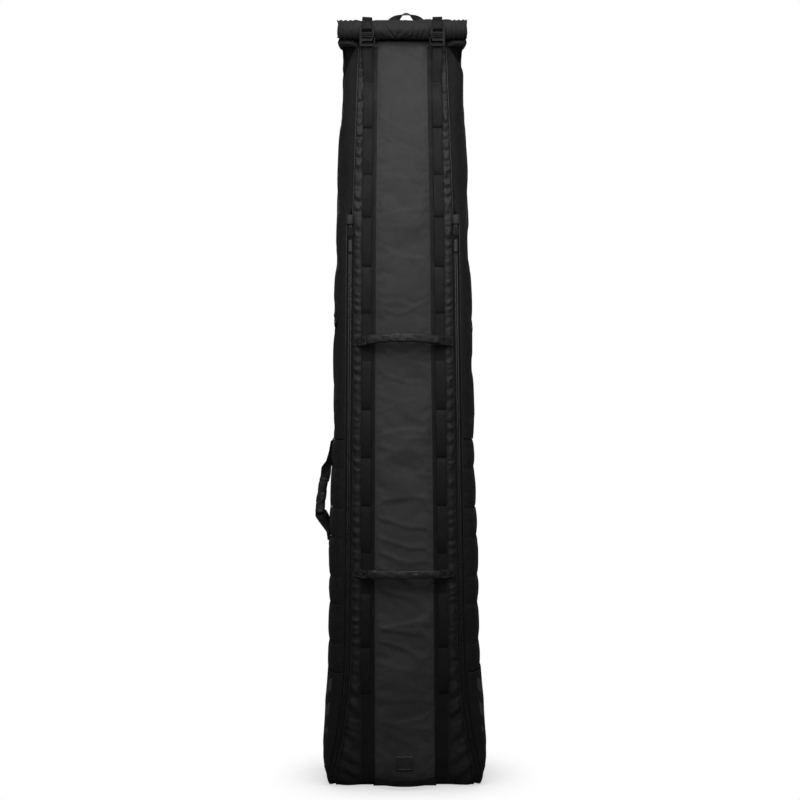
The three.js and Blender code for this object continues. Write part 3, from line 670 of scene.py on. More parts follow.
def woven(name, colour, roughness, period=0.0012, sheen=0.16, crumple=0.35):
    """Plain uncoated cloth."""
    g = new_surface(name)
    place = g.place()
    threads = g.weave(g.uv(), period)
    broad = g.noise(place, Scale=9.0, Detail=4.0)
    factor = g.math("ADD", g.math("MULTIPLY", threads, 0.5), g.math("MULTIPLY", broad, 0.5),
                    clamp=True)
    g.set(Base_Color=g.tint(factor, colour, dark=0.7, light=1.35), Roughness=roughness,
          Specular_IOR_Level=0.35, Sheen_Weight=sheen, Sheen_Roughness=0.5,
          Sheen_Tint=(0.25, 0.25, 0.26, 1))
    threaded = g.bump(threads, distance=0.00025, strength=0.5)
    soft = g.noise(place, Scale=45.0, Detail=4.0, Distortion=0.8)
    g.set(Normal=g.bump(soft, distance=0.003, strength=crumple, under=threaded))
    return g.material


def webbing(name, colour, roughness=0.6):
    """Lengthwise cords crossed by fine picks."""
    g = new_surface(name)
    cord_pitch, pick_pitch = 0.0021, 0.0017
    uv = g.uv()
    place = g.place()
    u, v, _ = g.split(uv)
    cords = g.math("ABSOLUTE", g.math("SINE", g.math("MULTIPLY", u, math.pi / cord_pitch)))
    picks = g.math("SINE", g.math("ADD", g.math("MULTIPLY", v, 2 * math.pi / pick_pitch),
                                  g.math("MULTIPLY", u, math.pi / cord_pitch)))
    height = g.math("ADD", g.math("MULTIPLY", cords, 0.7), g.math("MULTIPLY", picks, 0.25))
    wear = g.noise(place, Scale=30.0, Detail=3.0)
    factor = g.math("MULTIPLY", g.math("ADD", height, wear), 0.6, clamp=True)
    g.set(Base_Color=g.tint(factor, colour, dark=0.55, light=1.5),
          Roughness=g.ramp(wear, MID_NOISE, to=(roughness - 0.08, roughness + 0.1)),
          Specular_IOR_Level=0.25, Sheen_Weight=0.08,
          Normal=g.bump(height, distance=0.0003, strength=0.6))
    return g.material


def plastic(name, colour, roughness, grain, metallic=0.0, depth=0.00008, specular=0.5):
    """Any solid part: grain is the scale of its fine bumps and depth their height."""
    g = new_surface(name)
    place = g.place()
    fine = g.noise(place, Scale=grain, Detail=2.0)
    wear = g.noise(place, Scale=40.0, Detail=4.0)
    g.set(Base_Color=g.tint(wear, colour, dark=0.8, light=1.25),
          Roughness=g.ramp(wear, MID_NOISE, to=around(roughness, 0.08)),
          Metallic=metallic, Specular_IOR_Level=specular,
          Normal=g.bump(fine, distance=depth, strength=0.5))
    return g.material


def print_bars(material, grey):
    """Adds slanting bars to the lower part of the sides."""
    g = Surface(material)
    pitch, slant, filled = 0.062, 0.55, 0.52
    bottom, top, front, back = 0.132, 0.281, -0.099, 0.03
    cloth_colour = g.shader.inputs["Base Color"].links[0].from_socket
    _, y, z = g.split(g.place())
    height = g.math("ADD", z, g.math("MULTIPLY", y, slant))
    inked = g.math("LESS_THAN", g.math("FRACT", g.math("DIVIDE", height, pitch)), filled)
    for axis, test, limit in ((z, "GREATER_THAN", bottom), (z, "LESS_THAN", top),
                              (y, "GREATER_THAN", front), (y, "LESS_THAN", back)):
        inked = g.math("MULTIPLY", inked, g.math(test, axis, limit))
    g.set(Base_Color=g.mix(inked, cloth_colour, (grey, grey, grey * 1.01, 1)))


def shade_gussets(material):
    """Painted shade: the base colour goes near black where the side folds in under the roll, and
    its sheen and specular drop there.
    """
    g = Surface(material)
    top = SHELL_TOP * MM
    cloth_colour = g.shader.inputs["Base Color"].links[0].from_socket
    place = g.place()
    x, y, z = g.split(place)
    soft = g.noise(place, Scale=45.0, Detail=2.0)
    wobble = g.math("MULTIPLY", g.math("SUBTRACT", soft, 0.5), 0.008)
    shaded = None
    # painted shade on each side, past a slanting line under the roll
    for side, run in ((-1.0, 0.092), (1.0, 0.062)):
        slope = g.math("MULTIPLY", g.math("SUBTRACT", top, z), 0.040 / run)
        edge = g.math("ADD", slope, 0.1135)
        past = g.math("SUBTRACT", g.math("MULTIPLY", x, side), edge)
        fold = g.ramp(g.math("ADD", past, wobble), (-0.001, 0.0095))
        fold = g.math("MULTIPLY", fold, g.ramp(z, (top - run * 1.12, top - run * 0.86)))
        shaded = fold if shaded is None else g.math("MAXIMUM", shaded, fold)
    shaded = g.math("MULTIPLY", shaded, g.math("LESS_THAN", y, -0.012))
    # the colour of the painted shade
    painted_shade_colour = (0.0008, 0.0008, 0.0008, 1)
    g.set(Base_Color=g.mix(g.math("MULTIPLY", shaded, 0.66), cloth_colour, painted_shade_colour))
    # the painted shade also dims the sheen and specular
    for key in ("Sheen Weight", "Specular IOR Level"):
        socket = g.shader.inputs[key]
        kept = g.math("SUBTRACT", 1.0, g.math("MULTIPLY", shaded, 0.72))
        g.feed(socket, g.math("MULTIPLY", kept, socket.default_value))


COATED = coated("coated_cloth", (0.055, 0.055, 0.0554), roughness=0.6, crinkle=0.25,
                specular=0.16)
# the strips are the same coated cloth as the middle; this darker copy paints in the shade they
# take from facing aside
SHADED_STRIP = coated("coated_cloth_strip_painted_shade", (0.0205, 0.0205, 0.0208), roughness=0.52, crinkle=0.4,
               specular=0.25)
ROLL = woven("roll_cloth", (0.0255, 0.0255, 0.0258), roughness=0.72, period=0.0011, sheen=0.35,
             crumple=0.3)
LINING = woven("lining", (0.03, 0.03, 0.031), roughness=0.75, period=0.0009, sheen=0.1,
               crumple=0.2)
WOVEN = woven("woven_cloth", (0.0072, 0.0072, 0.0074), roughness=0.82)
CORNER = woven("corner_cloth", (0.0066, 0.0066, 0.0068), roughness=0.78, crumple=0.5)
RIB = woven("rib_cloth", (0.0066, 0.0066, 0.0068), roughness=0.78, crumple=0.5)
print_bars(CORNER, grey=0.075)
# painted shade on the woven cloth where the sides fold in under the roll
shade_gussets(WOVEN)
WEBBING = webbing("webbing", (0.0066, 0.0066, 0.0067))
LOOP_WEBBING = webbing("loop_webbing", (0.0062, 0.0062, 0.0064))
GRIP = coated("grip_cloth", (0.0210, 0.0210, 0.0213), roughness=0.5, crinkle=0.5, specular=0.45)
THREAD = plastic("thread", (0.034, 0.034, 0.0345), roughness=0.55, grain=2500.0)
BOX_THREAD = plastic("box_thread", (0.075, 0.075, 0.076), roughness=0.6, grain=2500.0,
                     depth=0.00003, specular=0.3)
PIPING = coated("piping", (0.016, 0.016, 0.017), roughness=0.38, crinkle=0.3)
ZIP_TAPE = webbing("zip_tape", (0.0085, 0.0085, 0.009), roughness=0.55)
ZIP_COIL = plastic("zip_coil", (0.016, 0.016, 0.017), roughness=0.32, grain=1500.0,
                   depth=0.00003, specular=0.6)
METAL = plastic("black_metal", (0.0035, 0.0035, 0.0036), roughness=0.46, grain=1800.0,
                depth=0.00004, specular=0.16)
PLASTIC = plastic("moulded_plastic", (0.012, 0.012, 0.0125), roughness=0.48, grain=900.0)
TYRE = plastic("tyre_rubber", (0.012, 0.012, 0.012), roughness=0.7, grain=500.0, depth=0.0002)
STEEL = plastic("axle_steel", (0.42, 0.42, 0.43), roughness=0.3, grain=2000.0, metallic=1.0,
                depth=0.00003)
BADGE = plastic("badge_rubber", (0.036, 0.036, 0.0365), roughness=0.5, grain=1200.0)


# ------------------------------------------------------------------ front cloth
def front_columns(z):
    """Column places across one row, crowded at the webbing and the seam."""
    edge, outer = float(seam_x(z)), float(web_outer_x(z))
    inner = outer - WEB_WIDTH
    half = np.concatenate([
        np.linspace(0, inner, 15)[:-1], np.linspace(inner, outer, 7)[:-1],
        np.linspace(outer, edge - 10, 6)[:-1], np.linspace(edge - 10, edge - 2.6, 4),
        [edge - 0.9, edge]])
    return np.concatenate([-half[::-1][:-1], half])


def middle_folds(x, z, inner):
    """Long soft folds and diagonal pulls between the webbings, dying away beside them."""
    to_web = inner - np.abs(x)
    free = np.clip((to_web - 3) / 16, 0, 1) ** 0.7
    wide, tall = x / 75, z / 100
    low = (noise(wide * 0.9, tall * 0.8, 0.3, 11) * 1.8
           + noise(wide * 1.6 + tall * 0.7, tall * 1.9 - wide * 0.9, 0.7, 12))
    # slanting folds, strongest from the foot up to the lower handle
    slant_up = z + 0.30 * x + 14 * noise(x / 60, z / 110, 0.5, 24)
    slant_down = z - 0.16 * x + 18 * noise(x / 70, z / 90, 0.8, 25)
    zone = 0.4 + ease(980, 820, z) * ease(150, 330, z)
    drawn = (ridge(slant_up / 46, x / 170 + 0.3, 0.2, 13, 2.2) * 2.4
             + ridge(slant_down / 62, x / 150, 0.9, 14, 2.6) * 1.8)
    edge_pull = (ridge(z / 30 + 0.7 * noise(x / 30, z / 60, 0, 27), x / 60, 0.4, 28, 2.0)
                 * np.clip(1 - to_web / 30, 0, 1) * 2.3)
    fine = (noise(x / 16, z / 34, 0.4, 15) * 0.22
            + noise((x + z) / 24, (x - z) / 60, 0.1, 16) * 0.3)
    return free * (low + zone * drawn + edge_pull + fine)


def strip_puckers(x, z, outer, edge):
    """Close puckers between the webbing and the seam, with wedge folds near the foot."""
    out = np.abs(x)
    part = np.clip((out - outer) / (edge - outer), 0, 1)
    side = np.sign(x) * 5       # keeps the two strips' noise apart
    free = arch(part, 0.6) * (out > outer) * (0.25 + 0.75 * ease(0.5, 5.0, edge - out))
    foot = ease(330, 240, z)
    pitch = 25.0
    jitter = 0.9 * noise(z / 47, side, 0.3, 17) + 0.35 * noise(z / 13, side, 0.6, 26)
    lean = (0.25 + 0.45 * foot) * (1 + 0.6 * noise(z / 60, side, 0.1, 18))
    pucker = ease(0, 1, saw(z / pitch - lean * (out - outer) / pitch + jitter, 0.28))
    depth = 3.2 + 1.8 * noise(z / 36, side, 0.9, 19) - 1.2 * foot
    depth = depth * (1 + 0.7 * ease(1380, 1560, z))
    wedge = saw((z - 0.75 * (out - outer)) / 52.0 + 0.5 * noise(z / 90, side, 0.4, 29), 0.35)
    return free * ((pucker - 0.5) * depth * (0.45 + 0.75 * part)
                   + noise(z / 8, x / 12, 0.3, 20) * 0.35 + foot * 5.6 * wedge)


def front_cloth():
    """One sheet from floor to neck."""
    rows = np.linspace(1.2, 1906.5, 330)
    x = np.array([front_columns(z) for z in rows])
    z = np.repeat(rows[:, None], x.shape[1], 1)
    out = np.abs(x)
    edge = seam_x(rows)[:, None]
    outer = web_outer_x(rows)[:, None]
    inner = outer - WEB_WIDTH
    # the strip outside the webbing is a little fuller, the seam edge rolls under
    part = np.clip((out - outer) / (edge - outer), 0, 1)
    y = front_y(x, z) - 2.2 * arch(part, 0.8) * (out > outer) - ease(9, 3, edge - out)
    y = y + 3.4 * (out > edge - 0.5) + 0.7 * ((out > edge - 1.5) & (out <= edge - 0.5))
    # the cloth stays flat under the patch
    flat = ease(38, 25, np.maximum(out, np.abs(z - PATCH_Z)))
    y = y - (1 - flat) * middle_folds(x, z, inner) - strip_puckers(x, z, outer, edge)
    ob = sheet("front_cloth", points(x, y, z), [COATED, SHADED_STRIP, ZIP_TAPE, LINING, LINING, LINING])
    pinned = (out > inner - 2) & (out < outer + 1) | (out > edge - 4) | (flat > 0.5)
    pinned[:3] = pinned[-3:] = True
    cloth(ob, pinned, frames=14, pressure=0.35, shrink=-0.008,
          cap=np.where(out > outer, 1.6, 3.5), bend=0.12)
    # slot 0 in the middle, 1 on the strips with their darker painted-shade copy of the cloth, 2 on
    # the band at the seam
    centre = (out[:-1, :-1] + out[1:, 1:]) / 2
    band = 2.0 + 8.0 * ease(1440, 1380, z[:-1, :-1])
    slots = (centre > outer[:-1] - 10).astype(np.int32) + (centre > edge[:-1] - band)
    ob.data.polygons.foreach_set("material_index", slots.astype(np.int32).ravel())
    ob.data.update()
    subdivide(ob)
    add_modifier(ob, "SOLIDIFY", thickness=0.0022, offset=-1, use_even_offset=True,
                 material_offset=3, material_offset_rim=0)
    fit_front(ob, "coated_fabric", "front_flap", "front_yoke")


# ------------------------------------------------------------------ front webbing
def loop_bulge(z):
    """How far the looped webbing stands off between its bar tacks."""
    bulge = np.zeros_like(z)
    for k, (high, low) in enumerate(zip(TACK_Z, TACK_Z[1:])):
        if low < UPPER_HANDLE_Z < high or low < LOWER_HANDLE_Z < high:
            height = 1.4
        else:
            height = 6.3 + 1.6 * float(noise(k * 1.7, 3.1, 0, 5))
        part = np.clip((z - low) / (high - low), 0, 1)
        part = part ** (0.86 + 0.1 * float(noise(k * 2.3, 1.0, 0, 6)))
        bulge = np.where((z <= high) & (z >= low), height * arch(part ** 0.9, 0.55), bulge)
    return bulge


def front_slope(x, z):
    return (front_y(x + 5, z) - front_y(x - 5, z)) / 10


# where the looped webbing turns over at the top: y, z
LOOP_TOP = [(-81.0, 1820), (-85.5, 1858), (-88.6, 1884), (-88.8, 1893.5), (-86.8, 1896.2),
            (-84.6, 1893.5), (-83.4, 1880), (-79.5, 1845), (-76.8, 1815)]


def front_webbing(side, s):
    thick = 1.5
    z = np.linspace(6, 1890, 420)
    x = s * (web_outer_x(z) - WEB_WIDTH / 2) + 0.5 * noise(z / 90, 0.5 + s, 0, 21)
    path = points(x, front_y(x, z) - 0.9 - thick / 2, z)
    across = unit(points(1.0, front_slope(x, z), 0.0))
    backing = sweep(side + "_backing_webbing", path, across, web_section(WEB_WIDTH, thick),
                    WEBBING)
    fit_front(backing, "webbing", side + "_base_web", side + "_base_web_upper")

    z = np.linspace(238, 1790, 800)
    x = web_outer_x(z) - LOOP_WIDTH / 2
    y = front_y(x, z) - 3.5 - loop_bulge(z)
    lower = points(s * x + 0.6 * noise(z / 90, 0.5 + s, 0, 22), y, z)
    top_y, top_z = catmull([(y[-1] - 0.4, 1793), *LOOP_TOP], 110).T
    top_x = web_outer_x(np.clip(top_z, 0, 1880)) - LOOP_WIDTH / 2
    top_x = top_x + (90 - top_x) * ease(1800, 1880, top_z)
    path = np.concatenate([lower, points(s * top_x, top_y, top_z)])
    x, y, z = path.T
    slope = np.where(z < 1790, front_slope(np.abs(x), z) * s, 0) * ease(1795, 1700, z)
    loops = sweep(side + "_loop_webbing", path, unit(points(1.0, slope, 0.0)),
                  web_section(LOOP_WIDTH, 1.6), LOOP_WEBBING)
    fit_front(loops, "webbing", side + "_daisy_web", side + "_daisy_web_upper")


def bar_tacks():
    """A zigzag of thread across each webbing at every tack."""
    tacks = []
    turns = 26
    for _, s in SIDES:
        for tack_z in TACK_Z:
            outer = float(web_outer_x(tack_z))
            z = tack_z + np.where(np.arange(turns) % 2, 1.7, -1.7)
            x = s * np.linspace(outer - 23.4, outer - 1.6, turns)
            path = points(x, front_y(x, z) - 4.4, z)
            tacks.append(sweep("tack", path, ALONG_Z, round_section(0.55, 0.55, 6), THREAD))
    fit_front(join("bar_tacks", tacks), "webbing")


def front_stitching():
    seams = []
    for _, s in SIDES:
        # down the backing webbing; its outer row stops below the loops
        for inset, top in ((34.2, 1900), (1.6, 232)):
            z = np.linspace(8, 1886, 500)
            z = z[z < top]
            x = s * (web_outer_x(z) - inset)
            seams.append((points(x, front_y(x, z) - 2.4, z), FORWARD))
    for _, s in SIDES:
        for inset, lift in ((2.9, 0.5), (6.4, 1.6)):
            z = np.linspace(8, 1890, 560)
            x = s * (seam_x(z) - inset)
            y = front_y(x, z) - ease(9, 3, inset) - lift
            seams.append((points(x, y, z), FORWARD))
    fit_front(stitches("front_stitching", seams, THREAD), "coated_fabric")


# ------------------------------------------------------------------ sides
def side_curve(z, count):
    """Plan outline (x, y) of the +X side at one height, from front seam to back seam."""
    power = 2 / 2.7
    front_x, wide, back_x = float(side_x(z)), float(half_width(z)), float(back_seam_x(z))
    front, back = float(front_edge_y(z)), float(back_y(z))
    middle = (front + back) / 2
    angle = np.linspace(0, math.pi / 2, 90)
    forward = np.stack([front_x + (wide - front_x) * np.sin(angle) ** power,
                        middle - (middle - front) * np.cos(angle) ** power], -1)
    angle = angle[::-1][1:]
    rear = np.stack([back_x + (wide - back_x) * np.sin(angle) ** power,
                     middle + (back - middle) * np.cos(angle) ** power], -1)
    return resample(np.concatenate([forward, rear]), count)


def side_grid(heights, columns, s):
    outline = np.array([side_curve(z, columns) for z in heights])
    return points(s * outline[..., 0], outline[..., 1], heights[:, None])


def out_normals(surface, s):
    """Normals turned to point out of the bag."""
    n = normals(surface)
    return n * np.sign((n[..., 0] * s).mean())


def face_out(ob, s):
    if sum(face.normal.x for face in ob.data.polygons) * s < 0:
        ob.data.flip_normals()


def side_sheet(name, s, heights, columns, material, displace, held_rows, replaced, **settling):
    surface = side_grid(heights, columns, s)
    part, z = np.broadcast_arrays(np.linspace(0, 1, columns)[None, :], heights[:, None])
    # seam edges tuck in so that no raw edge shows
    length = float(along(surface, 1)[:, -1].mean())
    tuck = -2.2 * ease(4.0 / length, 0, np.minimum(part, 1 - part))
    surface = surface + out_normals(surface, s) * (displace(part, z) + tuck)[..., None]
    ob = sheet(name, surface, [material, LINING], flip=s > 0)
    face_out(ob, s)
    pinned = np.zeros(part.shape, bool)
    pinned[:, [0, 1, -2, -1]] = True
    pinned[held_rows] = True
    cloth(ob, pinned, frames=12, **settling)
    line_cloth(ob)
    fit(ob, "woven_fabric", "shell", replaced)


SIDE_SEED = {-1: 30, 1: 60}
# the fold under the roll: its drop, its reach as a part of the side's
# width, and the heights between which it fades in
GUSSET = {-1: (92, 0.42, 1778, 1815), 1: (62, 0.36, 1808, 1842)}


def upper_side(side, s):
    seed = SIDE_SEED[s]
    drop, reach, fade_low, fade_high = GUSSET[s]

    def displace(part, z):
        free = arch(part, 0.5)
        waves = (noise(part * 3.2, z / 190, 0.2, seed) * 2.6
                 + noise(part * 7 + z / 300, z / 90, 0.7, seed + 1) * 1.5)
        creases = ridge(part * 4.5 + noise(part, z / 160, 0, seed + 2) * 0.9, z / 260, 0.4,
                        seed + 3, 3) * 2.4
        tuck = ridge((part - 0.25) * 5 + (z - 1830) / 90, 0.3 + z / 600, 0.1, seed + 4, 2)
        tuck = tuck * 3.5 * ease(1700, 1840, z)
        past_fold = part - (SHELL_TOP - z) / drop * reach
        fade = ease(fade_low, fade_high, z)
        hollow = (13.5 * ease(0.0, 0.10, past_fold) * ease(0.85, 0.6, part) * fade
                  * ease(1900, 1880, z))
        crest = (3.4 * bell(past_fold, 0.035) * fade * ease(1898, 1880, z)
                 * ease(0.6, 0.4, part))
        slim = free * 2.4 * ease(1560, 1330, z) * (1 if s > 0 else 0.5)
        if s < 0:
            slim = slim + free * 6.0 * ease(1540, 1790, z) * ease(1850, 1812, z)
        return free * (waves + creases * 0.8 + tuck * 0.6) - hollow + crest - slim

    side_sheet(side + "_upper_side", s, np.linspace(879.3, 1900, 150), 40, WOVEN, displace,
               [0, 1, -3, -2, -1], side + "_side_panel",
               pressure=0.3, shrink=-0.015, cap=2.2, bend=0.15)


def rib_phase(z):
    """0 to 1 up each padded rib, and 0 beyond them."""
    phase = np.zeros(z.shape)
    for high, low in zip(RIB_Z, RIB_Z[1:]):
        phase = np.where((z <= high) & (z >= low), (z - low) / (high - low), phase)
    return phase


def ribbed_side(side, s):
    seed = SIDE_SEED[s]
    heights = np.linspace(287.2, 878.9, 149)

    def displace(part, z):
        slim = 3.0 if s > 0 else 0.6
        rough = (noise(part * 9, z / 26, 0.3, seed + 7) * 0.7
                 + noise(part * 22, z / 40, 0.6, seed + 8) * 0.6)
        return arch(part, 0.2) * (-5.2 + 6.6 * arch(rib_phase(z), 0.24) - slim + rough)

    held = [0, -1] + [int(np.argmin(np.abs(heights - line))) for line in RIB_Z]
    side_sheet(side + "_ribbed_side", s, heights, 46, RIB, displace, held, side + "_rib_panel",
               pressure=0.8, shrink=-0.02, cap=1.6, bend=0.1)


def corner_panel(side, s):
    columns, top = 46, 286.8
    heights = np.linspace(40, top, 62)
    outline = np.array([side_curve(z, columns) for z in heights])
    # the back corner is cut away over the wheel
    floor_x, floor_y = outline[0].T
    low = np.where((floor_y > 38) & (floor_x < 203), 107.0, 41.0)
    z = low + (top - low) * np.linspace(0, 1, 62)[:, None]
    x, y = (np.stack([np.interp(z[:, i], heights, outline[:, i, axis])
                      for i in range(columns)], -1) for axis in (0, 1))
    surface = points(s * x, y, z)
    part = np.broadcast_to(np.linspace(0, 1, columns), z.shape)
    free = arch(part, 0.5) * arch(np.clip((z - 41) / 245, 0, 1), 0.4)
    move = free * 1.6 * (noise(part * 4, z / 80, 0.1, 81)
                         + ridge(part * 3 + z / 150, z / 120, 0.4, 82, 3))
    move = move - 2.2 * ease(0.02, 0, np.minimum(part, 1 - part))
    surface = surface + out_normals(surface, s) * move[..., None]
    ob = sheet(side + "_lower_corner", surface, [CORNER, LINING])
    face_out(ob, s)
    line_cloth(ob)
    fit(ob, "woven_fabric", "shell", side + "_corner_panel")


def fit_lining(ob):
    add_modifier(ob, "SOLIDIFY", thickness=0.0008, offset=0)
    fit(ob, "woven_fabric", "shell")


def side_lining(side, s):
    """A second skin inside the side, closing the wheel's cut-out from behind."""
    heights = np.concatenate([[38.6, 40.4], np.linspace(42, 1560, 118)])
    surface = side_grid(np.maximum(heights, 42.0), 40, s)
    surface[..., 2] = heights[:, None]
    surface = surface - out_normals(surface, s) * 9.0
    x, y, z = np.moveaxis(surface, -1, 0)
    x = s * np.maximum(s * x, 182.0 - 36.0 * ease(104, 112, z) - 60.0 * ease(300, 1500, z))
    y = np.minimum(y, 93.0)
    x = x + s * noise(y / 40, z / 110, 0.3, 91) * 0.8
    ob = sheet(side + "_side_lining", points(x, y, z), [LINING, LINING])
    face_out(ob, s)
    fit_lining(ob)


# ------------------------------------------------------------------ back and floor
def back_cloth():
    part = np.linspace(-1, 1, 41)
    top = 1899
    # both lower corners are cut away over the wheels
    low = np.where(np.abs(part * (float(back_seam_x(100)) - 1)) > 119, 107.0, 43.0)
    z = low + (top - low) * np.linspace(0, 1, 230)[:, None]
    x = part * (back_seam_x(z) - 0.6)
    free = (1 - part ** 4) * ease(42, 90, z)
    folds = (noise(x / 90, z / 140, 0.2, 91) * 0.7
             + ridge(x / 120 + z / 400, z / 200, 0.6, 92, 3) * 0.9)
    y = back_y(z) + free * folds * 0.8 - 2.0 * ease(0.965, 1, np.abs(part))
    ob = sheet("back_cloth", points(x, y, z), [WOVEN, LINING], flip=True)
    line_cloth(ob)
    fit(ob, "woven_fabric", "shell", "back_panel")


# the floor lining's section, stepped over the wheel boxes: y, z
FLOOR_STEPS = [(91.5, 150), (91.5, 130), (91.4, 114), (89, 107.5), (80, 104.4), (62, 104.0),
               (45, 103.6), (41, 100.5), (40.6, 85), (40.6, 60), (40.4, 45), (37, 41),
               (20, 40.4), (-20, 40.2), (-60, 40.2), (-97, 40.2)]


def floor_lining():
    section = resample(FLOOR_STEPS, 90)
    x, y, z = np.broadcast_arrays(np.linspace(-186, 186, 70), section[:, :1], section[:, 1:])
    soft = noise(x / 45, (y + z) / 40, 0.2, 95)
    surface = points(x, y - 0.5 - 0.4 * soft, z + 0.5 + 0.5 * soft)
    fit_lining(sheet("floor_lining", surface, [LINING, LINING]))


# ------------------------------------------------------------------ piping and body stitching
def pipe(name, x, y, z, radius):
    return sweep(name, points(x, y, z), ALONG_X, round_section(radius, radius, 10), PIPING)


def seam_piping():
    pipes = []
    for _, s in SIDES:
        z = np.linspace(1442, SHELL_TOP, 130)
        pipes.append(pipe("pipe", s * (seam_x(z) + 0.4), front_edge_y(z) - 1.6, z, 1.7))
        z = np.linspace(108, 1880, 330)
        pipes.append(pipe("pipe", s * (back_seam_x(z) + 0.4), back_y(z) - 0.2, z, 2.0))
    fit(join("seam_piping", pipes), "coated_fabric", "shell")


def body_stitching():
    """Rows beside the zip and along every line between ribs."""
    seams = []
    for _, s in SIDES:
        z = np.linspace(44, 1430, 420)
        seams.append((points(s * (side_x(z) + 4.0), front_edge_y(z) - 0.55, z), FORWARD))
        for line_z in RIB_Z:
            outline = side_curve(line_z, 120)
            tangent = unit(np.gradient(outline, axis=0))
            out_x, out_y = tangent[4:-4, 1], -tangent[4:-4, 0]
            x, y = outline[4:-4].T
            seams.append((points(s * (x - out_x * 3.6), y - out_y * 3.6, float(line_z)),
                          points(s * out_x, out_y, 0.0)))
    fit(stitches("body_stitching", seams, THREAD), "woven_fabric", "shell")


# ------------------------------------------------------------------ zip
# a tape's section: distance from the zip's centre line, height off the cloth edge
TAPE_SECTION = np.array([
    (13.0, -2.6), (5.2, 0.1), (4.4, 0.9), (3.6, 1.35), (2.6, 1.5), (1.2, 1.45), (0.35, 0.9),
    (0.35, -0.9), (1.2, -1.6), (4.4, -1.7), (13.0, -4.2)])
COIL_COLUMNS = (3, 6)       # first and last section faces that show the coil
TOOTH_PITCH = 2.1


def tape_half(s, inward, z):
    away, height = TAPE_SECTION.T
    x = s * (zip_x(z)[:, None] + away * inward)
    tooth = (0.28 * np.sin(z / TOOTH_PITCH * 2 * math.pi)[:, None]
             * ((away < 3) & (height > 0))[None, :])
    surface = points(x, front_edge_y(z)[:, None] - height - tooth, z[:, None])
    rows, columns = surface.shape[:2]
    ob = mesh_object("tape", surface.reshape(-1, 3), tube_faces(rows, columns),
                     [ZIP_TAPE, ZIP_COIL], ring_uv(np.arange(columns) * 1.5, z))
    column = np.tile(np.arange(columns), rows - 1)
    slots = np.zeros(len(ob.data.polygons), np.int32)
    slots[:len(column)] = (column >= COIL_COLUMNS[0]) & (column <= COIL_COLUMNS[1])
    ob.data.polygons.foreach_set("material_index", slots)
    clean_mesh(ob)
    return ob


def zips():
    # name, direction from the centre line, lowest z, bottom tape's half width and z, body
    for name, inward, start_z, half, bottom_z, body in (("flap", -1, 12, 183.0, 15.5, "flap"),
                                                        ("body", 1, 3, 185.0, 7.0, "shell")):
        parts = [tape_half(s, inward, np.arange(start_z, 1430, 0.7)) for _, s in SIDES]
        path = points(np.linspace(-half, half, 160), -97.0, bottom_z)
        parts.append(sweep("bottom", path, ALONG_Z, web_section(7.0, 1.4, 6), ZIP_TAPE))
        fit(join("zip_" + name, parts), "zip_tape", body, "zip_tape_" + name)


# ------------------------------------------------------------------ rolled collar
ROLL_Y, ROLL_Z = -62.0, 1931.0      # the roll's centre line
ROLL_RADIUS = 27.6
ROLL_PITCH = 7.4                    # radius lost in each turn
STRAP_X = 90.0
# creases on the roll, from one x and angle to another, then width and depth
ROLL_CREASES = (
    (-46, 2.75, -17, 4.5, 2.8, 2.6), (1, 1.85, -15, 4.25, 3.4, 1.6),
    (-3, 3.4, -17, 4.4, 2.6, 1.9), (33, 3.1, 23, 4.4, 2.7, 2.2),
    (46, 3.2, 38, 4.5, 2.6, 2.2), (62, 3.0, 50, 4.4, 2.8, 2.2),
    (66, 1.8, 74, 3.6, 3.0, 1.8), (-62, 1.9, -71, 3.2, 3.0, 1.6),
    (-58, 3.5, -44, 4.5, 2.8, 1.7), (8, 3.6, 12, 4.5, 2.6, 1.5))


def roll_crease(x, angle, x0, angle0, x1, angle1, width, depth):
    """One groove, deepening towards its second end, with a raised lip on each side."""
    arm = 27        # turns an angle into a length on the roll
    dx, da = x1 - x0, (angle1 - angle0) * arm
    x, run = x - x0, (angle - angle0) * arm
    part = np.clip((x * dx + run * da) / (dx * dx + da * da), 0, 1)
    aside = np.abs(x * da - run * dx) / math.hypot(dx, da)
    away = np.hypot(x - dx * part, run - da * part)
    lip = 0.55 * bell(away, 2.6 * width) * ease(0.3 * width, 1.4 * width, aside)
    return depth * (0.35 + 0.65 * part) * (lip - bell(away, width))


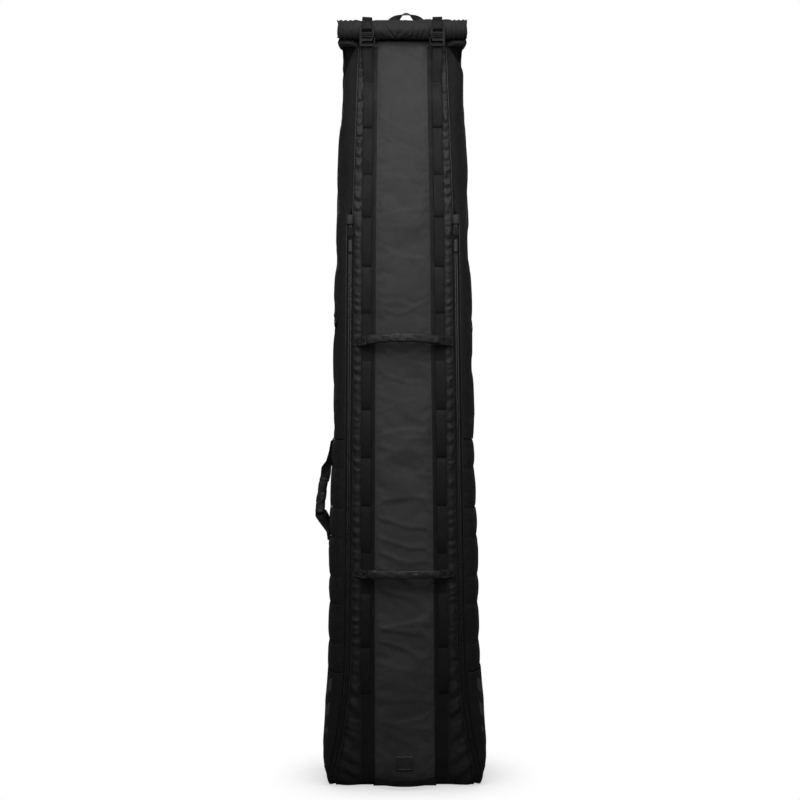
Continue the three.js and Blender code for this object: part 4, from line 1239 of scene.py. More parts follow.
def rolled_collar():
    columns = np.linspace(-167, 167, 190)
    rows = np.concatenate([[-1.0, -0.5], np.linspace(0, 1.9 * 2 * math.pi, 230)])
    x = np.repeat(columns[None, :], len(rows), 0)
    angle = np.repeat(rows[:, None], len(columns), 1)
    out = np.abs(x)
    radius = ROLL_RADIUS - ROLL_PITCH * np.clip(angle, 0, None) / (2 * math.pi)
    outer = ease(2 * math.pi + 0.5, 2 * math.pi - 0.4, angle)
    ends = ease(108, 132, out)
    pleat = np.abs(np.sin(x / 12.5 * math.pi + noise(x / 21, 3.3, 0, 201) * 1.8
                          + 0.12 * angle)) ** 0.7
    move = ends * (pleat - 0.75) * 3.4
    move += (1 - ends) * noise(x / 34, angle * 1.1, 0.2, 202) * 2.0
    # creases that fan in towards the middle of the lower edge
    fan = ridge((x + 22) / (5 + 9 * np.clip(4.9 - angle, 0, 3)), angle * 0.6, 0.5, 203, 3)
    move -= (1 - ends) * ease(1.9, 4.3, angle) * 3.4 * fan * ease(70, 15, np.abs(x + 12))
    # pinched under the straps, fuller on either side of them
    move -= bell(out - STRAP_X, 13.0) * 2.4 * ease(0.2, 1.4, angle)
    move += bell(out - 116, 9.0) * 1.2 + bell(out - 66, 11.0) * 0.9
    move += noise(x / 9, angle * 3.0, 0.7, 204) * 0.35
    for crease in ROLL_CREASES:
        move += roll_crease(x, angle, *crease)
    shown = 0.3 + 0.7 * outer       # the hidden inner turns wrinkle less
    move = move * shown
    # the ends gather a little, so the free corners stand up and the underside tucks in
    tip = ease(150, 167, out)
    move += tip * (1.6 * np.cos(angle - 2.2) - 0.6) * shown
    y = ROLL_Y + (radius + move) * np.cos(angle)
    z = ROLL_Z + (radius + move) * np.sin(angle)
    # the first two rows are the riser at the back
    for row, riser_z in ((0, 1904.5), (1, 1914.0)):
        y[row] = ROLL_Y + ROLL_RADIUS - 1.5 + 0.3 * noise(columns / 14, row * 2.0, 0, 205)
        z[row] = riser_z
    # the ends lean out of line
    sway = 1.2 * np.sin(angle * 1.3 + 0.6) - 0.6
    draw_in = (np.where(x < 0, 2.5, 1.2) * outer
               * (1 - np.cos((angle - np.where(x < 0, 1.9, 2.4)) * 2.15)))
    surface = points(x + np.sign(x) * tip * (sway - draw_in), y, z)
    outward = normals(surface)
    from_centre = points(0.0, y - ROLL_Y, z - ROLL_Z)
    if (outward[5:40] * from_centre[5:40]).sum() < 0:
        outward = -outward
    ob = slab("rolled_collar", surface, outward, 3.4, ROLL, grid_uv(surface))
    subdivide(ob)
    fit(ob, "woven_fabric", "roll", "roll_collar")


# ------------------------------------------------------------------ neck under the roll
NECK_QUARTER = 60       # points on each of a ring's four runs


def closed_ring(front, right, back):
    """One ring from its front, right and back runs; the left run mirrors the right."""
    left = right[::-1] * np.array([-1.0, 1.0])
    return np.concatenate([resample(run, NECK_QUARTER + 1)[:-1]
                           for run in (front, right, back, left)])


def shell_ring(z, grow):
    """The body's outline at one height, grown outwards."""
    edge, seam = float(side_x(z)), float(back_seam_x(z))
    x = np.linspace(-edge, edge, 60)
    front = np.stack([x, front_y(x, np.full(60, float(z)))], -1)
    back = np.array([(seam, float(back_y(z))), (-seam, float(back_y(z)))])
    ring = closed_ring(front, side_curve(z, 80), back)
    tangent = unit(np.roll(ring, -1, 0) - np.roll(ring, 1, 0))
    return ring + np.stack([tangent[:, 1], -tangent[:, 0]], -1) * grow


def flat_ring(half, front, back):
    """A flattened tube, going round the same way."""
    radius = (back - front) / 2
    angle = np.linspace(-math.pi / 2, math.pi / 2, 20)
    bend = np.stack([half - radius + radius * np.cos(angle),
                     (front + back) / 2 + radius * np.sin(angle)], -1)
    right = np.concatenate([[(112.0, front)], bend, [(136.0, back)]])
    return closed_ring(np.array([(-112.0, front), (112.0, front)]), right,
                       np.array([(136.0, back), (-136.0, back)]))


def neck():
    rows, count = 26, 4 * NECK_QUARTER
    height = np.linspace(0, 1, rows)
    blend = ease(0, 1, height)[:, None, None]
    rings = shell_ring(SHELL_TOP, 0.6) * (1 - blend) + flat_ring(165.5, -45.5, -33.6) * blend
    x, y = rings[..., 0], rings[..., 1]
    up = np.repeat(height[:, None], count, 1)
    z = SHELL_TOP + (1912.0 - SHELL_TOP) * up
    out = np.abs(x)
    free = arch(np.clip(up * 1.04, 0, 1), 0.8)
    front = ease(-30, -40, y)
    # the folded ends puff out under the roll
    puff = bell(out - 144, 17.0) * front * free
    ruffle = 2.5 + 1.2 * noise(x / 18, up * 2, 0.3, 211)
    y = (y - 13.0 * puff - front * free * ruffle * ease(116, 128, out)
         + front * 2.6 * ease(122, 112, out)
         + (1 - front) * free * 1.5 * noise(x / 24, up * 3, 0.9, 212))
    z = z - 5.0 * puff * up
    surface = points(x + np.sign(x) * ease(145, 160, out) * free * 3.5, y, z)
    uv = np.stack(np.broadcast_arrays(along(surface[0, :, :2])[None, :], z - SHELL_TOP), -1)
    ob = mesh_object("collar_neck", surface.reshape(-1, 3), grid_faces(rows, count, wrap=True),
                     ROLL, uv.reshape(-1, 2))
    clean_mesh(ob)
    subdivide(ob)
    add_modifier(ob, "SOLIDIFY", thickness=0.0018, offset=-1)
    fit(ob, "woven_fabric", None)
    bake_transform(ob)


# ------------------------------------------------------------------ roll straps and hooks
def plate(name, outline, holes, y, depth, edge, material):
    """A flat part cut from plate, drawn in x and z, with softened edges."""
    curve = bpy.data.curves.new(name, "CURVE")
    curve.dimensions = "2D"
    curve.fill_mode = "BOTH"
    for ring in (outline, *holes):
        spline = curve.splines.new("POLY")
        spline.points.add(len(ring) - 1)
        for point, (x, z) in zip(spline.points, ring):
            point.co = (x * MM, z * MM, 0, 1)
        spline.use_cyclic_u = True
    curve.bevel_depth = edge * MM
    curve.bevel_resolution = 3
    curve.offset = -edge * MM
    curve.extrude = (depth / 2 - edge) * MM
    drawn = bpy.data.objects.new(name + "_tmp", curve)
    bpy.context.scene.collection.objects.link(drawn)
    depsgraph = bpy.context.evaluated_depsgraph_get()
    mesh = bpy.data.meshes.new_from_object(drawn.evaluated_get(depsgraph))
    bpy.data.objects.remove(drawn, do_unlink=True)
    flat = np.zeros(len(mesh.vertices) * 3, np.float32)
    mesh.vertices.foreach_get("co", flat)
    flat = flat.reshape(-1, 3)
    stood = np.stack([flat[:, 0], y * MM - flat[:, 2], flat[:, 1]], -1)
    mesh.vertices.foreach_set("co", stood.ravel())
    mesh.name = name
    mesh.materials.clear()
    mesh.materials.append(material)
    ob = bpy.data.objects.new(name, mesh)
    bpy.context.scene.collection.objects.link(ob)
    clean_mesh(ob, merge=2e-6)
    return ob


def rounded(corners, radius):
    """A polygon with its corners turned on a radius."""
    corners = np.asarray(corners, float)
    outline = []
    for i, corner in enumerate(corners):
        before, after = corners[i - 1] - corner, corners[(i + 1) % len(corners)] - corner
        cut = min(radius, 0.45 * np.linalg.norm(before), 0.45 * np.linalg.norm(after))
        start, end = corner + unit(before) * cut, corner + unit(after) * cut
        for t in np.linspace(0, 1, 4):
            outline.append(tuple((1 - t) ** 2 * start + 2 * t * (1 - t) * corner + t * t * end))
    return outline


# strap over the roll, from back to front: y, z
ROLL_STRAP = [(-34.2, 1908), (-34.0, 1922), (-34.6, 1938), (-39.0, 1950.5), (-48, 1959.6),
              (-60, 1963.4), (-73, 1961.6), (-85, 1956), (-93.0, 1948), (-97.2, 1941)]
# its end, threaded down through the hook's upper slots: y, z
HOOK_STRAP = [(-97.6, 1944.0), (-99.2, 1938), (-99.3, 1929), (-98.9, 1925.2), (-95.6, 1921.6),
              (-92.2, 1919), (-92.0, 1915.5), (-95.4, 1912.0), (-98.8, 1910.9), (-99.0, 1909.2),
              (-98.2, 1907.8), (-95.2, 1905.5), (-91.6, 1902.5), (-90.6, 1915), (-90.8, 1930)]
HOOK_TOP = 1937.0
# hook outline from its top middle: outward x, z; the open tip is on the inner side
HOOK_OUTLINE = [(-12.5, 0), (12.5, 0), (19.8, -10), (19.8, -35), (19.4, -56.5), (8, -56.5),
                (-15.5, -56.5), (-19.8, -52.5), (-21.6, -33.0), (-18.4, -32.5), (-16.2, -50.0),
                (-15, -51.0), (13.0, -51.0), (13.2, -43.5), (-14, -43.5), (-17.0, -29),
                (-19.8, -23), (-19.8, -10)]
# slots: half width, top z, bottom z
HOOK_SLOTS = [(12.8, -14.6, -19.4), (12.8, -24.2, -29.0), (12.4, -33.6, -36.4)]


def strap_and_hook(side, s):
    centre = s * STRAP_X
    body = side + "_hook_body"
    y, z = catmull(ROLL_STRAP, 90).T
    lift = arch(np.linspace(0, 1, 90), 2)
    shift = s * 0.8 + (1.5 if s < 0 else -0.5)
    tilt = 0.10 * lift * (1 if s < 0 else -0.4)
    strap = sweep(side + "_strap", points(centre + shift * lift, y, z),
                  unit(points(1.0, 0.25 * tilt, -tilt)), web_section(25, 1.9, 10), LOOP_WEBBING)
    fit(strap, "webbing", "roll", side + "_roll_strap")

    y, z = catmull(HOOK_STRAP, 120).T
    threaded = sweep(side + "_hook_strap", points(centre, y, z), ALONG_X,
                     web_section(24, 1.5, 10), LOOP_WEBBING)
    fit(threaded, "webbing", body)

    def placed(drawing, radius):
        return rounded([(centre + s * x, HOOK_TOP + z) for x, z in drawing], radius)

    holes = [placed([(-half, top), (half, top), (half, low), (-half, low)], 1.2)
             for half, top, low in HOOK_SLOTS]
    hook = plate(side + "_gear_hook", placed(HOOK_OUTLINE, 2.0), holes, y=-95.5, depth=3.6,
                 edge=0.8, material=METAL)
    fit(hook, "black_metal", body, side + "_hook")


# ------------------------------------------------------------------ front carry handles
def front_handle(name, height, width, bow, lift, seed):
    """A wrapped sleeve bowed out between the webbings, on a sewn webbing root at each end."""
    rest_y = float(front_y(92.0, height)) - 22
    span = float(web_outer_x(height)) + 0.2
    rows = 150

    def arc(part):
        part = np.asarray(part, float)
        return points(part * span,
                      rest_y - bow * np.maximum(np.cos(part * math.pi / 2), 0) ** 0.9,
                      height + lift * (1 - part * part))

    def wrinkle(part, angle, length):
        run = part * length
        across, out = np.cos(angle), np.sin(angle)
        return (noise(run / 15, across * 1.2, out * 1.2, seed) * 0.9
                + noise(run / 6.5, across * 2, out * 2, seed + 1) * 0.35
                - ridge(run / 19 + out * 0.8, across * 0.5, 0.2, seed + 2, 3) * 0.9
                - 1.6 * ease(5, 0, np.minimum(part, 1 - part) * length))

    reach = 90.5 / span
    path = arc(np.linspace(-reach, reach, rows))
    part = np.linspace(0, 1, rows)
    end = 0.82 + 0.18 * ease(0, 0.06, np.minimum(part, 1 - part))
    sleeve = sweep(name + "_sleeve", path, ALONG_Z, round_section(width / 2 - 0.8, 6.4, 36, 3.0),
                   GRIP, wrinkle, np.stack([0.5 + 0.5 * end, end], -1))
    fit(sleeve, "coated_fabric", name, name + "_grip")
    seam = width / 2 - 4.2
    rows_ = [(path[4:-4] + np.array([0, -6.0, off]), FORWARD) for off in (-seam, seam)]
    fit(stitches(name + "_sleeve_stitching", rows_, THREAD), "coated_fabric", name)
    for side, s in SIDES:
        handle_root(name, side, s, height, width, rest_y,
                    [arc(s * x / span) for x in (100.0, 94.0, 88.0)])


def handle_root(name, side, s, height, width, rest_y, inner_end):
    # x, x where the front is measured, height off the front
    sewn = [(s * x, float(front_y(at, height)) - off, height) for x, at, off in (
        (127.5, 127.5, 2.4), (122, 122, 4.0), (116.5, 116.5, 5.6), (111.5, 111, 10.0))]
    path = catmull([*sewn, (s * 107.5, rest_y + 5.5, height), *inner_end], 60)
    root = sweep(name + "_root_webbing_" + side, path, ALONG_Z,
                 web_section(width - 1.4, 2.2, 10), WEBBING)
    out = unit(np.cross(unit(np.gradient(path, axis=0)), ALONG_Z))
    out = out * np.sign(-out[:, 1:2] + 1e-9)
    top = path + out * 1.25
    near = np.abs(top[:, 0])
    boxed = (near > 94.5) & (near < 126.0)
    top, out = top[boxed], out[boxed]
    half = width / 2 - 3.4
    # a box with both diagonals
    seams = [(top + points(0, 0, np.linspace(start, end, len(top))), out)
             for start, end in ((half, half), (-half, -half), (half, -half), (-half, half))]
    for end in (0, -1):
        seams.append((top[end] + points(0, 0, np.linspace(-half, half, 12)), out[end]))
    box = stitches(name + "_box_stitch_" + side, seams, BOX_THREAD, length=2.8, gap=0.9,
                   radius=0.62)
    for ob in (root, box):
        fit(ob, "webbing", None)
        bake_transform(ob)
    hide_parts(name + "_root_" + side)


# ------------------------------------------------------------------ left side's carry handle
def wing_x(z, off):
    """A place off the left side."""
    return -(half_width(z) + 2.5 + off)


def side_backing():
    def x_at(z):
        off = 3.9 - 5.2 * arch(rib_phase(z), 0.55) ** 0.62
        return off * 0.55 - half_width(z) - 1.9

    z = np.linspace(602, 880, 140)
    backing = sweep("side_backing_webbing", points(x_at(z), 0.0, z), ALONG_Y,
                    web_section(42, 1.8, 12), WEBBING)
    fit(backing, "webbing", "shell", "side_handle_base")
    seams = [(points(x_at(z) - 0.95, y, z), (-1.0, 0, 0)) for y in (-18.6, 18.6)]
    for low, high in ((606, 618), (864, 876)):
        for start, end in ((low, high), (high, low)):
            z = np.linspace(start, end, 20)
            seams.append((points(x_at(z) - 0.95, np.linspace(-18, 18, 20), z), (-1.0, 0, 0)))
    fit(stitches("side_backing_stitching", seams, THREAD), "webbing", "shell")


# each wing: node it stands for, heights where it is sewn and free,
# rows of z with both edges' distance off the side, rows of z with half width
WINGS = {
    "upper": ("side_handle_wing_top", 812, 776,
              [(766, 6.5, 31.5), (776, 4.6, 29.5), (786, 2.6, 28.6), (802, 2.2, 27.5),
               (808, 2.0, 24.0), (820, 1.8, 14.5), (845, 1.6, 7.6), (874, 1.4, 2.6)],
              [(766, 12.5), (786, 13.2), (808, 15), (830, 18), (874, 19)]),
    "lower": ("side_handle_wing_bottom", 663, 687,
              [(614, 1.4, 2.6), (636, 1.6, 6.5), (645, 1.8, 13.5), (661, 2.0, 27.0),
               (677, 3.0, 39.5), (684, 6.5, 39.5), (692, 12.0, 38.5)],
              [(614, 19), (640, 18.6), (661, 18.4), (677, 18.3), (684, 16.5), (692, 13.3)]),
}


def fit_wing(ob):
    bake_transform(ob)


def side_wing(name, replaced, sewn, free, edge_rows, half_rows):
    """Webbing that lies flat where it is sewn, and turns edge on as it reaches the grip.

    Returns its lines of stitches.
    """
    edge_z, near, far = zip(*edge_rows)
    z = np.linspace(edge_z[0], edge_z[-1], 90)
    kernel = np.hanning(9)
    kernel /= kernel.sum()
    near, far = (np.convolve(np.pad(np.interp(z, edge_z, edge), 4, mode="edge"), kernel,
                             mode="valid") for edge in (near, far))
    half = np.interp(z, *zip(*half_rows))
    sine = np.clip((far - near) / 2 / half, 0, 1)
    cosine = np.sqrt(1 - sine * sine)
    columns = 22
    part = np.linspace(-1, 1, columns)
    off = ((near + far) / 2)[:, None] + ((far - near) / 2)[:, None] * part
    y = -(half * cosine)[:, None] * part + 0.8 * np.sin(part * 2.2) * sine[:, None]
    z = np.repeat(z[:, None], columns, 1)
    surface = points(wing_x(z, off), y, z)
    out = normals(surface)
    uv = np.stack([along(surface, 1), z], -1).reshape(-1, 2)
    ob = slab("side_wing_" + name, surface + out * 1.3, out, 2.6, WEBBING, uv)
    bevel(ob, width=0.0008, segments=2, degrees=50)
    fit_wing(ob)
    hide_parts(replaced)
    return [(surface[3:-3, column] + out[3:-3, column] * lift,
             out[3:-3, column] * np.sign(lift))
            for column in (2, columns - 3) for lift in (1.35, -1.55)]


def side_grip():
    top = np.array([float(wing_x(776, 19.0)), 0, 776.0])
    bottom = np.array([float(wing_x(684, 27.0)), 0, 684.0])
    part = np.linspace(0, 1, 90)
    path = top + (bottom - top) * part[:, None] + points(-2 * np.sin(math.pi * part), 0, 0)

    def wrap(part, angle, length):
        run = part * length
        end = np.minimum(part, 1 - part) * length
        move = (noise(run / 9 + np.sin(angle) * 1.1, np.cos(angle) * 1.3, 0.4, 411) * 1.1
                - ridge(run / 17 - angle * 0.35, 0.3, 0.7, 412, 3) * 1.5
                + 0.9 * ease(9, 5, end) - 1.4 * ease(2.5, 0, end))
        # the wrap's free edge runs down the grip
        return move + 0.8 * ease(0.25, 0.0, np.abs(angle - 1.9)) * ease(0, 0.1, part)

    grip = sweep("side_grip_wrap", path, ALONG_Y, round_section(10.8, 12.4, 40, 2.5), GRIP, wrap)
    fit(grip, "webbing", "side_handle", "side_handle_grip")


def side_handle():
    side_backing()
    seams = {name: side_wing(name, *wing) for name, wing in WINGS.items()}
    for name, (_, sewn, free, *_) in WINGS.items():
        fit_wing(stitches("side_wing_stitching_" + name, seams[name], THREAD))
    side_grip()


# ------------------------------------------------------------------ haul loop, pad, foot handle
# right half of the haul loop: x, z
HAUL_LOOP = [(71.5, 1800), (71.5, 1850), (70, 1905), (64, 1944), (52, 1969), (36, 1985),
             (19.5, 1998), (8, 2004), (0, 2005.2)]


def haul_loop():
    half = catmull(HAUL_LOOP, 76)
    x, z = np.concatenate([half * np.array([-1.0, 1.0]), half[::-1][1:]]).T
    path = points(x + 11 * ease(1880, 2000, z), 58 - 14 * ease(1840, 2000, z), z)
    # the webbing turns from edge on at the top to flat against the loop's plane lower down
    turn = (math.pi / 2) * (0.09 + 0.88 * ease(0.04, 0.56, np.abs(x) / HAUL_LOOP[0][0]))
    outward = unit(np.cross(unit(np.gradient(path, axis=0)), ALONG_Y))
    away = outward[:, 0] * np.sign(x) * ease(2, 20, np.abs(x)) + outward[:, 2] + 1e-9
    outward = outward * np.sign(away)[:, None]
    across = outward * np.sin(turn)[:, None] + points(0, np.cos(turn), 0)
    loop = sweep("haul_loop_webbing", path, across, web_section(24, 3.0, 10), WEBBING)
    fit(loop, "webbing", "haul_loop", "top_handle")


def haul_pad():
    half, low, high = 84, 1741, 1799
    x, z = np.meshgrid(np.linspace(-half, half, 70), np.linspace(low, high, 30))
    edge = np.minimum(np.minimum(half - np.abs(x), z - low), high - z)
    y = back_y(z) + 1.2 + 2.6 * ease(0, 9, edge) - 1.3 * bell(edge - 6, 1.6)
    surface = points(x, y, z)
    pad = slab("haul_pad", surface, np.array(ALONG_Y), 2.2, WOVEN, grid_uv(surface))
    subdivide(pad)
    fit(pad, "woven_fabric", "shell", "top_handle_anchor")


def foot_handle():
    part = np.linspace(-1, 1, 90)
    path = points(74 * part, -124 - 25 * (1 - np.abs(part) ** 2.2), 17.5 + part * part)
    handle = sweep("foot_handle_webbing", path, ALONG_Z, web_section(17.5, 3.0, 10), WEBBING)
    fit(handle, "webbing", "foot_handle", "bottom_handle")
    x = np.linspace(-80, 80, 60)
    backing = sweep("foot_handle_backing",
                    points(x, -104.0, 1.6 + 0.15 * noise(x / 15, 0.3, 0, 431)), ALONG_Y,
                    web_section(15.5, 2.0, 12), WEBBING)
    fit(backing, "webbing", "shell", "bottom_handle_anchor")


# ------------------------------------------------------------------ accessory ring and its tab
# the folded tab: distance off the side, z
RING_TAB = [(1.4, 1234), (1.3, 1215), (1.2, 1202), (0.8, 1196.5), (1.2, 1192.6), (3.2, 1191.0),
            (5.3, 1192.8), (5.4, 1198), (4.0, 1206), (3.4, 1217), (3.4, 1234)]


def accessory_ring():
    low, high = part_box("side_ring_tab")
    sideways = np.array([-0.3151, 0.9490, 0.0])
    out = np.array([-0.9490, -0.3151, 0.0])
    centre = np.array([(low[0] + high[0]) / 2 / MM, (low[1] + high[1]) / 2 / MM, 0])
    centre = centre - out * 3.0
    off, z = catmull(RING_TAB, 90).T
    tab = sweep("ring_tab_webbing", centre + out * off[:, None] + points(0, 0, z), sideways,
                web_section(16, 1.5, 8), WEBBING)
    fit(tab, "webbing", "shell", "side_ring_tab")

    half_wide, half_tall, ring_z, wire = 9.5, 15.0, 1180, 1.5
    steps, sides = 96, 12
    angle = np.linspace(0, 2 * math.pi, steps + 1)
    path = (centre + out * 3.2 + sideways * (half_wide * np.cos(angle))[:, None]
            + points(0, 0, ring_z + half_tall * np.sin(angle)))
    index = np.arange(steps)
    tangent = unit(path[(index + 1) % steps] - path[index - 1])
    across = unit(np.cross(tangent, out))
    turn = np.linspace(0, 2 * math.pi, sides, endpoint=False)[None, :, None]
    verts = path[:steps, None] + (across[:, None] * np.cos(turn) + out * np.sin(turn)) * wire
    faces = grid_faces(steps + 1, sides, wrap=True) % (steps * sides)
    ring = mesh_object("accessory_ring", verts.reshape(-1, 3), faces, METAL)
    clean_mesh(ring)
    fit(ring, "black_metal", "ring", "side_ring")


# ------------------------------------------------------------------ patch on the front's foot
def blank_patch():
    """A blank patch with cut corners and a raised rim."""
    half_wide, half_tall = 21.5, 18.5
    x, z = np.meshgrid(np.linspace(-half_wide, half_wide, 65),
                       np.linspace(PATCH_Z - half_tall, PATCH_Z + half_tall, 57))
    out, up = np.abs(x), np.abs(z - PATCH_Z)
    inset = np.minimum(half_wide - out, half_tall - up) - 0.4 * np.clip(out + up - 32, 0, 9)
    height = (1.5 * ease(0, 1.6, inset) - 0.9 * ease(2.6, 4.0, inset)
              + 0.45 * ease(5.4, 6.2, inset) - 0.45 * ease(6.4, 7.2, inset))
    patch = slab("blank_patch", points(x, front_y(x, z) - 0.8 - height, z), np.array(FORWARD),
                 1.0, BADGE)
    fit(patch, "badge_rubber", "flap", "front_badge")


# ------------------------------------------------------------------ zip facing, welt, garage, pull
def zip_facing(side, s):
    """Cloth that closes the bag behind the zip and turns back along its outer edge."""
    rows = np.linspace(2.2, 1431, 420)
    z = rows[:, None]
    flat_columns = 14
    away = np.concatenate([np.linspace(-17, 15, flat_columns), [15.0, 15.0, 15.0]])
    turn = np.concatenate([np.zeros(flat_columns), [4.0, 9.0, 15.0]])
    reach = np.where(away > 0, away / 15 * (5 + 10 * ease(30, 75, z)), away)
    turned = turn * (0.12 + 0.88 * ease(190, 150, z))
    x = s * (zip_x(z) + reach)
    y = (front_edge_y(z) + 5.6 + 1.2 * np.abs(away / 16) ** 2
         + 0.5 * noise(x / 20, z / 45, 0.2, 77) + turned)
    surface = points(x - s * 0.25 * turned, y, z)
    ob = slab(side + "_zip_facing", surface, forward_normals(surface, slice(flat_columns)), 1.2,
              WOVEN, grid_uv(surface))
    fit(ob, "woven_fabric", "shell")


def zip_garage(side, s):
    """A cloth cover over the top end of the zip."""
    part, up = np.meshgrid(np.linspace(-1, 1, 25), np.linspace(0, 1, 29))
    x = s * (float(zip_x(1440)) + 1.5) + (12.5 - 2.0 * up) * part * s
    z = 1427 + 25 * up
    height = (5.2 * (1 - np.abs(part) ** 2.6) * (1 - 0.75 * up ** 2)
              + 0.4 * noise(part * 2, up * 3, 0.4, 441))
    surface = points(x, front_edge_y(z) - 1.2 - height, z)
    # the cover takes the strips' darker copy of the coated cloth, with its painted shade
    ob = slab(side + "_zip_garage", surface, forward_normals(surface), 1.2, SHADED_STRIP,
              grid_uv(surface))
    subdivide(ob)
    fit(ob, "coated_fabric", "shell")


# the cord through the slider's eye: x from its middle, z from its top
PULL_CORD = [(-2.0, -14), (-2.2, -6), (-1.6, -1.8), (0, -0.6), (1.6, -1.8), (2.2, -6),
             (2.0, -14)]


def zip_puller(side):
    low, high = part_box(side + "_zip_pull")
    x, y = (low[0] + high[0]) / 2 / MM, (low[1] + high[1]) / 2 / MM
    bottom, top = low[2] / MM, high[2] / MM
    cord = sweep(side + "_pull_cord", catmull([(x + dx, y, top + dz) for dx, dz in PULL_CORD],
                                              40),
                 ALONG_Y, round_section(1.0, 1.0, 8), LOOP_WEBBING)
    part = np.linspace(0, 1, 40)
    width = np.interp(part, [0, 0.05, 0.2, 0.8, 0.95, 1], [0.55, 0.8, 1, 1, 0.85, 0.5])
    width *= 1 - 0.06 * np.sin(part * 26) ** 2      # finger ribs
    depth = np.interp(part, [0, 0.08, 0.9, 1], [0.7, 1, 1, 0.5])
    grip = sweep(side + "_pull_grip", points(x, y, np.linspace(top - 12, bottom, 40)), ALONG_X,
                 round_section(5.4, 1.25, 24, 3.0), PLASTIC, scale=np.stack([width, depth], -1))
    fit(join(side + "_zip_puller", [cord, grip]), "webbing", side + "_pull", side + "_zip_pull")


def zip_fittings():
    for side, s in SIDES:
        zip_facing(side, s)
        z = np.linspace(4, 1431, 600)
        welt = pipe(side + "_zip_welt", s * (zip_x(z) + 9.5), front_edge_y(z) - 1.7, z, 1.9)
        fit(welt, "coated_fabric", "shell")
        zip_garage(side, s)
        zip_puller(side)


# ------------------------------------------------------------------ straps inside the back
def hold_down_straps():
    for name, height in (("upper", 1250.0), ("lower", 600.0)):
        x = np.linspace(-138, 138, 120)
        path = points(x, 91.6 - 0.7 * np.abs(noise(x / 40, height, 0, 451)),
                      height + 1.2 * noise(x / 60, height / 50, 0, 452))
        strap = sweep("hold_down_strap_" + name, path, ALONG_Z, web_section(37.5, 1.6, 14),
                      WEBBING)
        fit(strap, "webbing", "shell", "inner_strap_" + name)


# ------------------------------------------------------------------ frame pieces that stay
# material, bevel width in metres, bevel segments, node names
KEPT_NODES = (
    (PLASTIC, 0.0008, 3, ("base_tray", "left_wheel_housing", "right_wheel_housing",
                          "left_wheel_hub", "right_wheel_hub", "back_board", "roll_batten",
                          "inner_buckle_upper", "inner_buckle_lower")),
    (TYRE, 0.0008, 3, ("left_wheel_tyre", "right_wheel_tyre")),
    (STEEL, 0.0004, 2, ("left_axle", "right_axle")),
    (METAL, 0.0006, 3, ("left_zip_slider", "right_zip_slider", "side_ring", "left_hook",
                        "right_hook")),
    (WOVEN, 0, 0, ("roll_collar",)),
)


def finish_node(node, material, width, segments):
    node.data.materials.clear()
    node.data.materials.append(material)
    if width:
        bevel(node, width, segments, degrees=28)


def finish_frame_nodes():
    for material, width, segments, names in KEPT_NODES:
        for name in names:
            finish_node(nodes[name], material, width, segments)
    # any other node still in view becomes webbing
    done = {row[0].name for row in KEPT_NODES}
    for node in nodes.values():
        if node.hide_render:
            continue
        first = node.data.materials[0] if node.data.materials else None
        if not first or first.name.split(".")[0] not in done:
            finish_node(node, WEBBING, 0.0004, 2)


# ------------------------------------------------------------------ studio
def studio_floor():
    """A white floor that glows evenly, with a painted contact shadow where the bag stands close.
    """
    g = new_surface("studio_floor")
    g.tree.nodes.remove(g.shader)
    painted_contact_shadow = g.node("AmbientOcclusion", Distance=0.16, samples=12)
    glow = g.node("Emission")
    g.feed(glow.inputs["Color"], g.mix(g.ramp(painted_contact_shadow.outputs["AO"], (0.35, 0.95)),
                                       (0.62, 0.62, 0.62, 1), (1.0, 1.0, 1.0, 1)))
    g.feed(g.tree.nodes["Material Output"].inputs[0], glow.outputs[0])
    far = 200000
    floor = mesh_object("studio_floor",
                        [(-far, -far, 0), (far, -far, 0), (far, far, 0), (-far, far, 0)],
                        [(0, 1, 2, 3)], g.material, smooth=False)
    floor.visible_diffuse = False
    floor.visible_glossy = False


def studio_world():
    """White to the camera, dim to everything else."""
    world = bpy.data.worlds.new("studio")
    bpy.context.scene.world = world
    world.use_nodes = True
    g = Graph(world.node_tree)
    white = (1, 1, 1, 1)
    dim = g.tree.nodes["Background"]
    dim.inputs["Color"].default_value = white
    dim.inputs["Strength"].default_value = 0.035
    rays = g.node("LightPath")
    bright = g.node("Background", Color=white, Strength=1.0)
    mix = g.node("MixShader")
    for socket, source in zip(mix.inputs, (rays.outputs["Is Camera Ray"], dim.outputs[0],
                                           bright.outputs[0])):
        g.feed(socket, source)
    g.feed(g.tree.nodes["World Output"].inputs[0], mix.outputs[0])


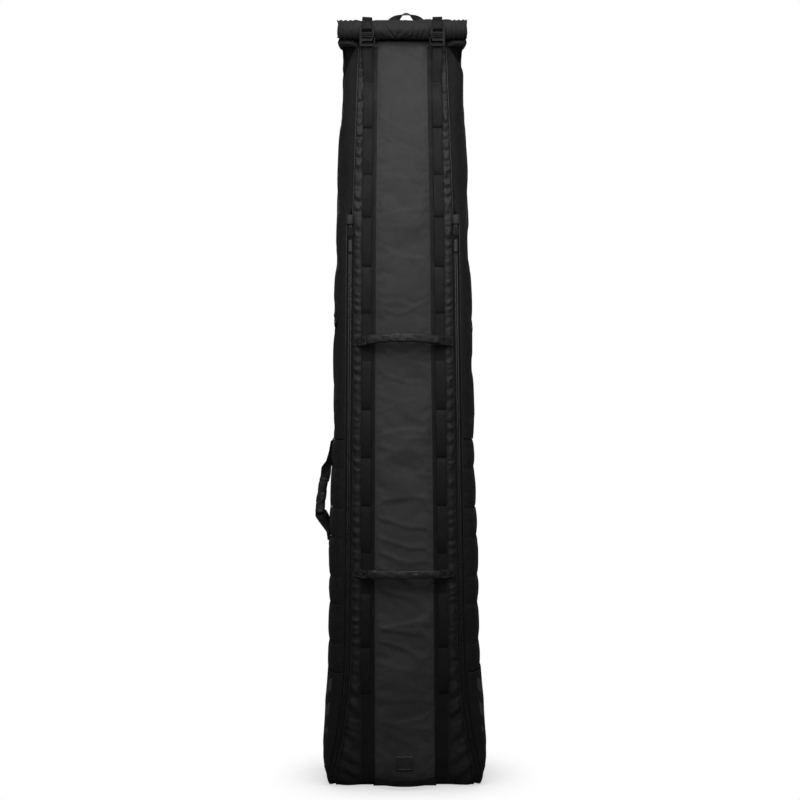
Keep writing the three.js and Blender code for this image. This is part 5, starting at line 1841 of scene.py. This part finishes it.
def area_light(name, place, target, size, power, spread):
    """place and target in metres, size as (width, height), spread in degrees."""
    light = bpy.data.lights.new(name, "AREA")
    light.shape = "RECTANGLE"
    light.size, light.size_y = size
    light.energy = power
    light.spread = math.radians(spread)
    ob = bpy.data.objects.new(name, light)
    ob.location = place
    ob.rotation_mode = "QUATERNION"
    ob.rotation_quaternion = (Vector(place) - Vector(target)).to_track_quat("Z", "Y")
    bpy.context.scene.collection.objects.link(ob)


def studio_camera():
    view_angle = math.radians(35.2)
    camera = bpy.data.cameras.new("camera")
    camera.sensor_width = 36
    camera.lens = 18 / math.tan(view_angle / 2)
    camera.clip_start, camera.clip_end = 0.05, 60
    ob = bpy.data.objects.new("camera", camera)
    ob.location = (-0.009, -3.31, 0.979)
    ob.rotation_euler = (math.radians(90), math.radians(0.2), 0)
    bpy.context.scene.collection.objects.link(ob)
    bpy.context.scene.camera = ob


def studio():
    studio_floor()
    studio_world()
    area_light("key", place=(0.0, -2.0, 3.1), target=(0, 0, 1.1), size=(2.2, 1.6), power=22.5,
               spread=130)
    area_light("front_soft", place=(0.0, -2.9, 2.15), target=(0, 0, 1.8), size=(1.6, 1.2),
               power=4.3, spread=80)
    for side, s in SIDES:
        area_light(side + "_soft", place=(s * 2.4, -0.9, 1.8), target=(0, 0, 1.2),
                   size=(0.5, 2.0), power=1.8, spread=120)
    area_light("back_soft", place=(0, 2.4, 2.4), target=(0, 0, 1.2), size=(1.6, 1.6), power=30,
               spread=140)
    studio_camera()
    bpy.context.scene.view_settings.view_transform = "Standard"


# ------------------------------------------------------------------ build
front_cloth()
for side, s in SIDES:
    front_webbing(side, s)
bar_tacks()
front_stitching()
for side, s in SIDES:
    upper_side(side, s)
    ribbed_side(side, s)
for side, s in SIDES:
    corner_panel(side, s)
    side_lining(side, s)
back_cloth()
floor_lining()
seam_piping()
body_stitching()
zips()
rolled_collar()
neck()
for side, s in SIDES:
    strap_and_hook(side, s)
front_handle("upper_handle", UPPER_HANDLE_Z, width=26.0, bow=22.0, lift=8.0, seed=301)
front_handle("lower_handle", LOWER_HANDLE_Z, width=24.0, bow=18.0, lift=0.0, seed=331)
side_handle()
haul_loop()
haul_pad()
foot_handle()
accessory_ring()
blank_patch()
zip_fittings()
hold_down_straps()
finish_frame_nodes()
studio()
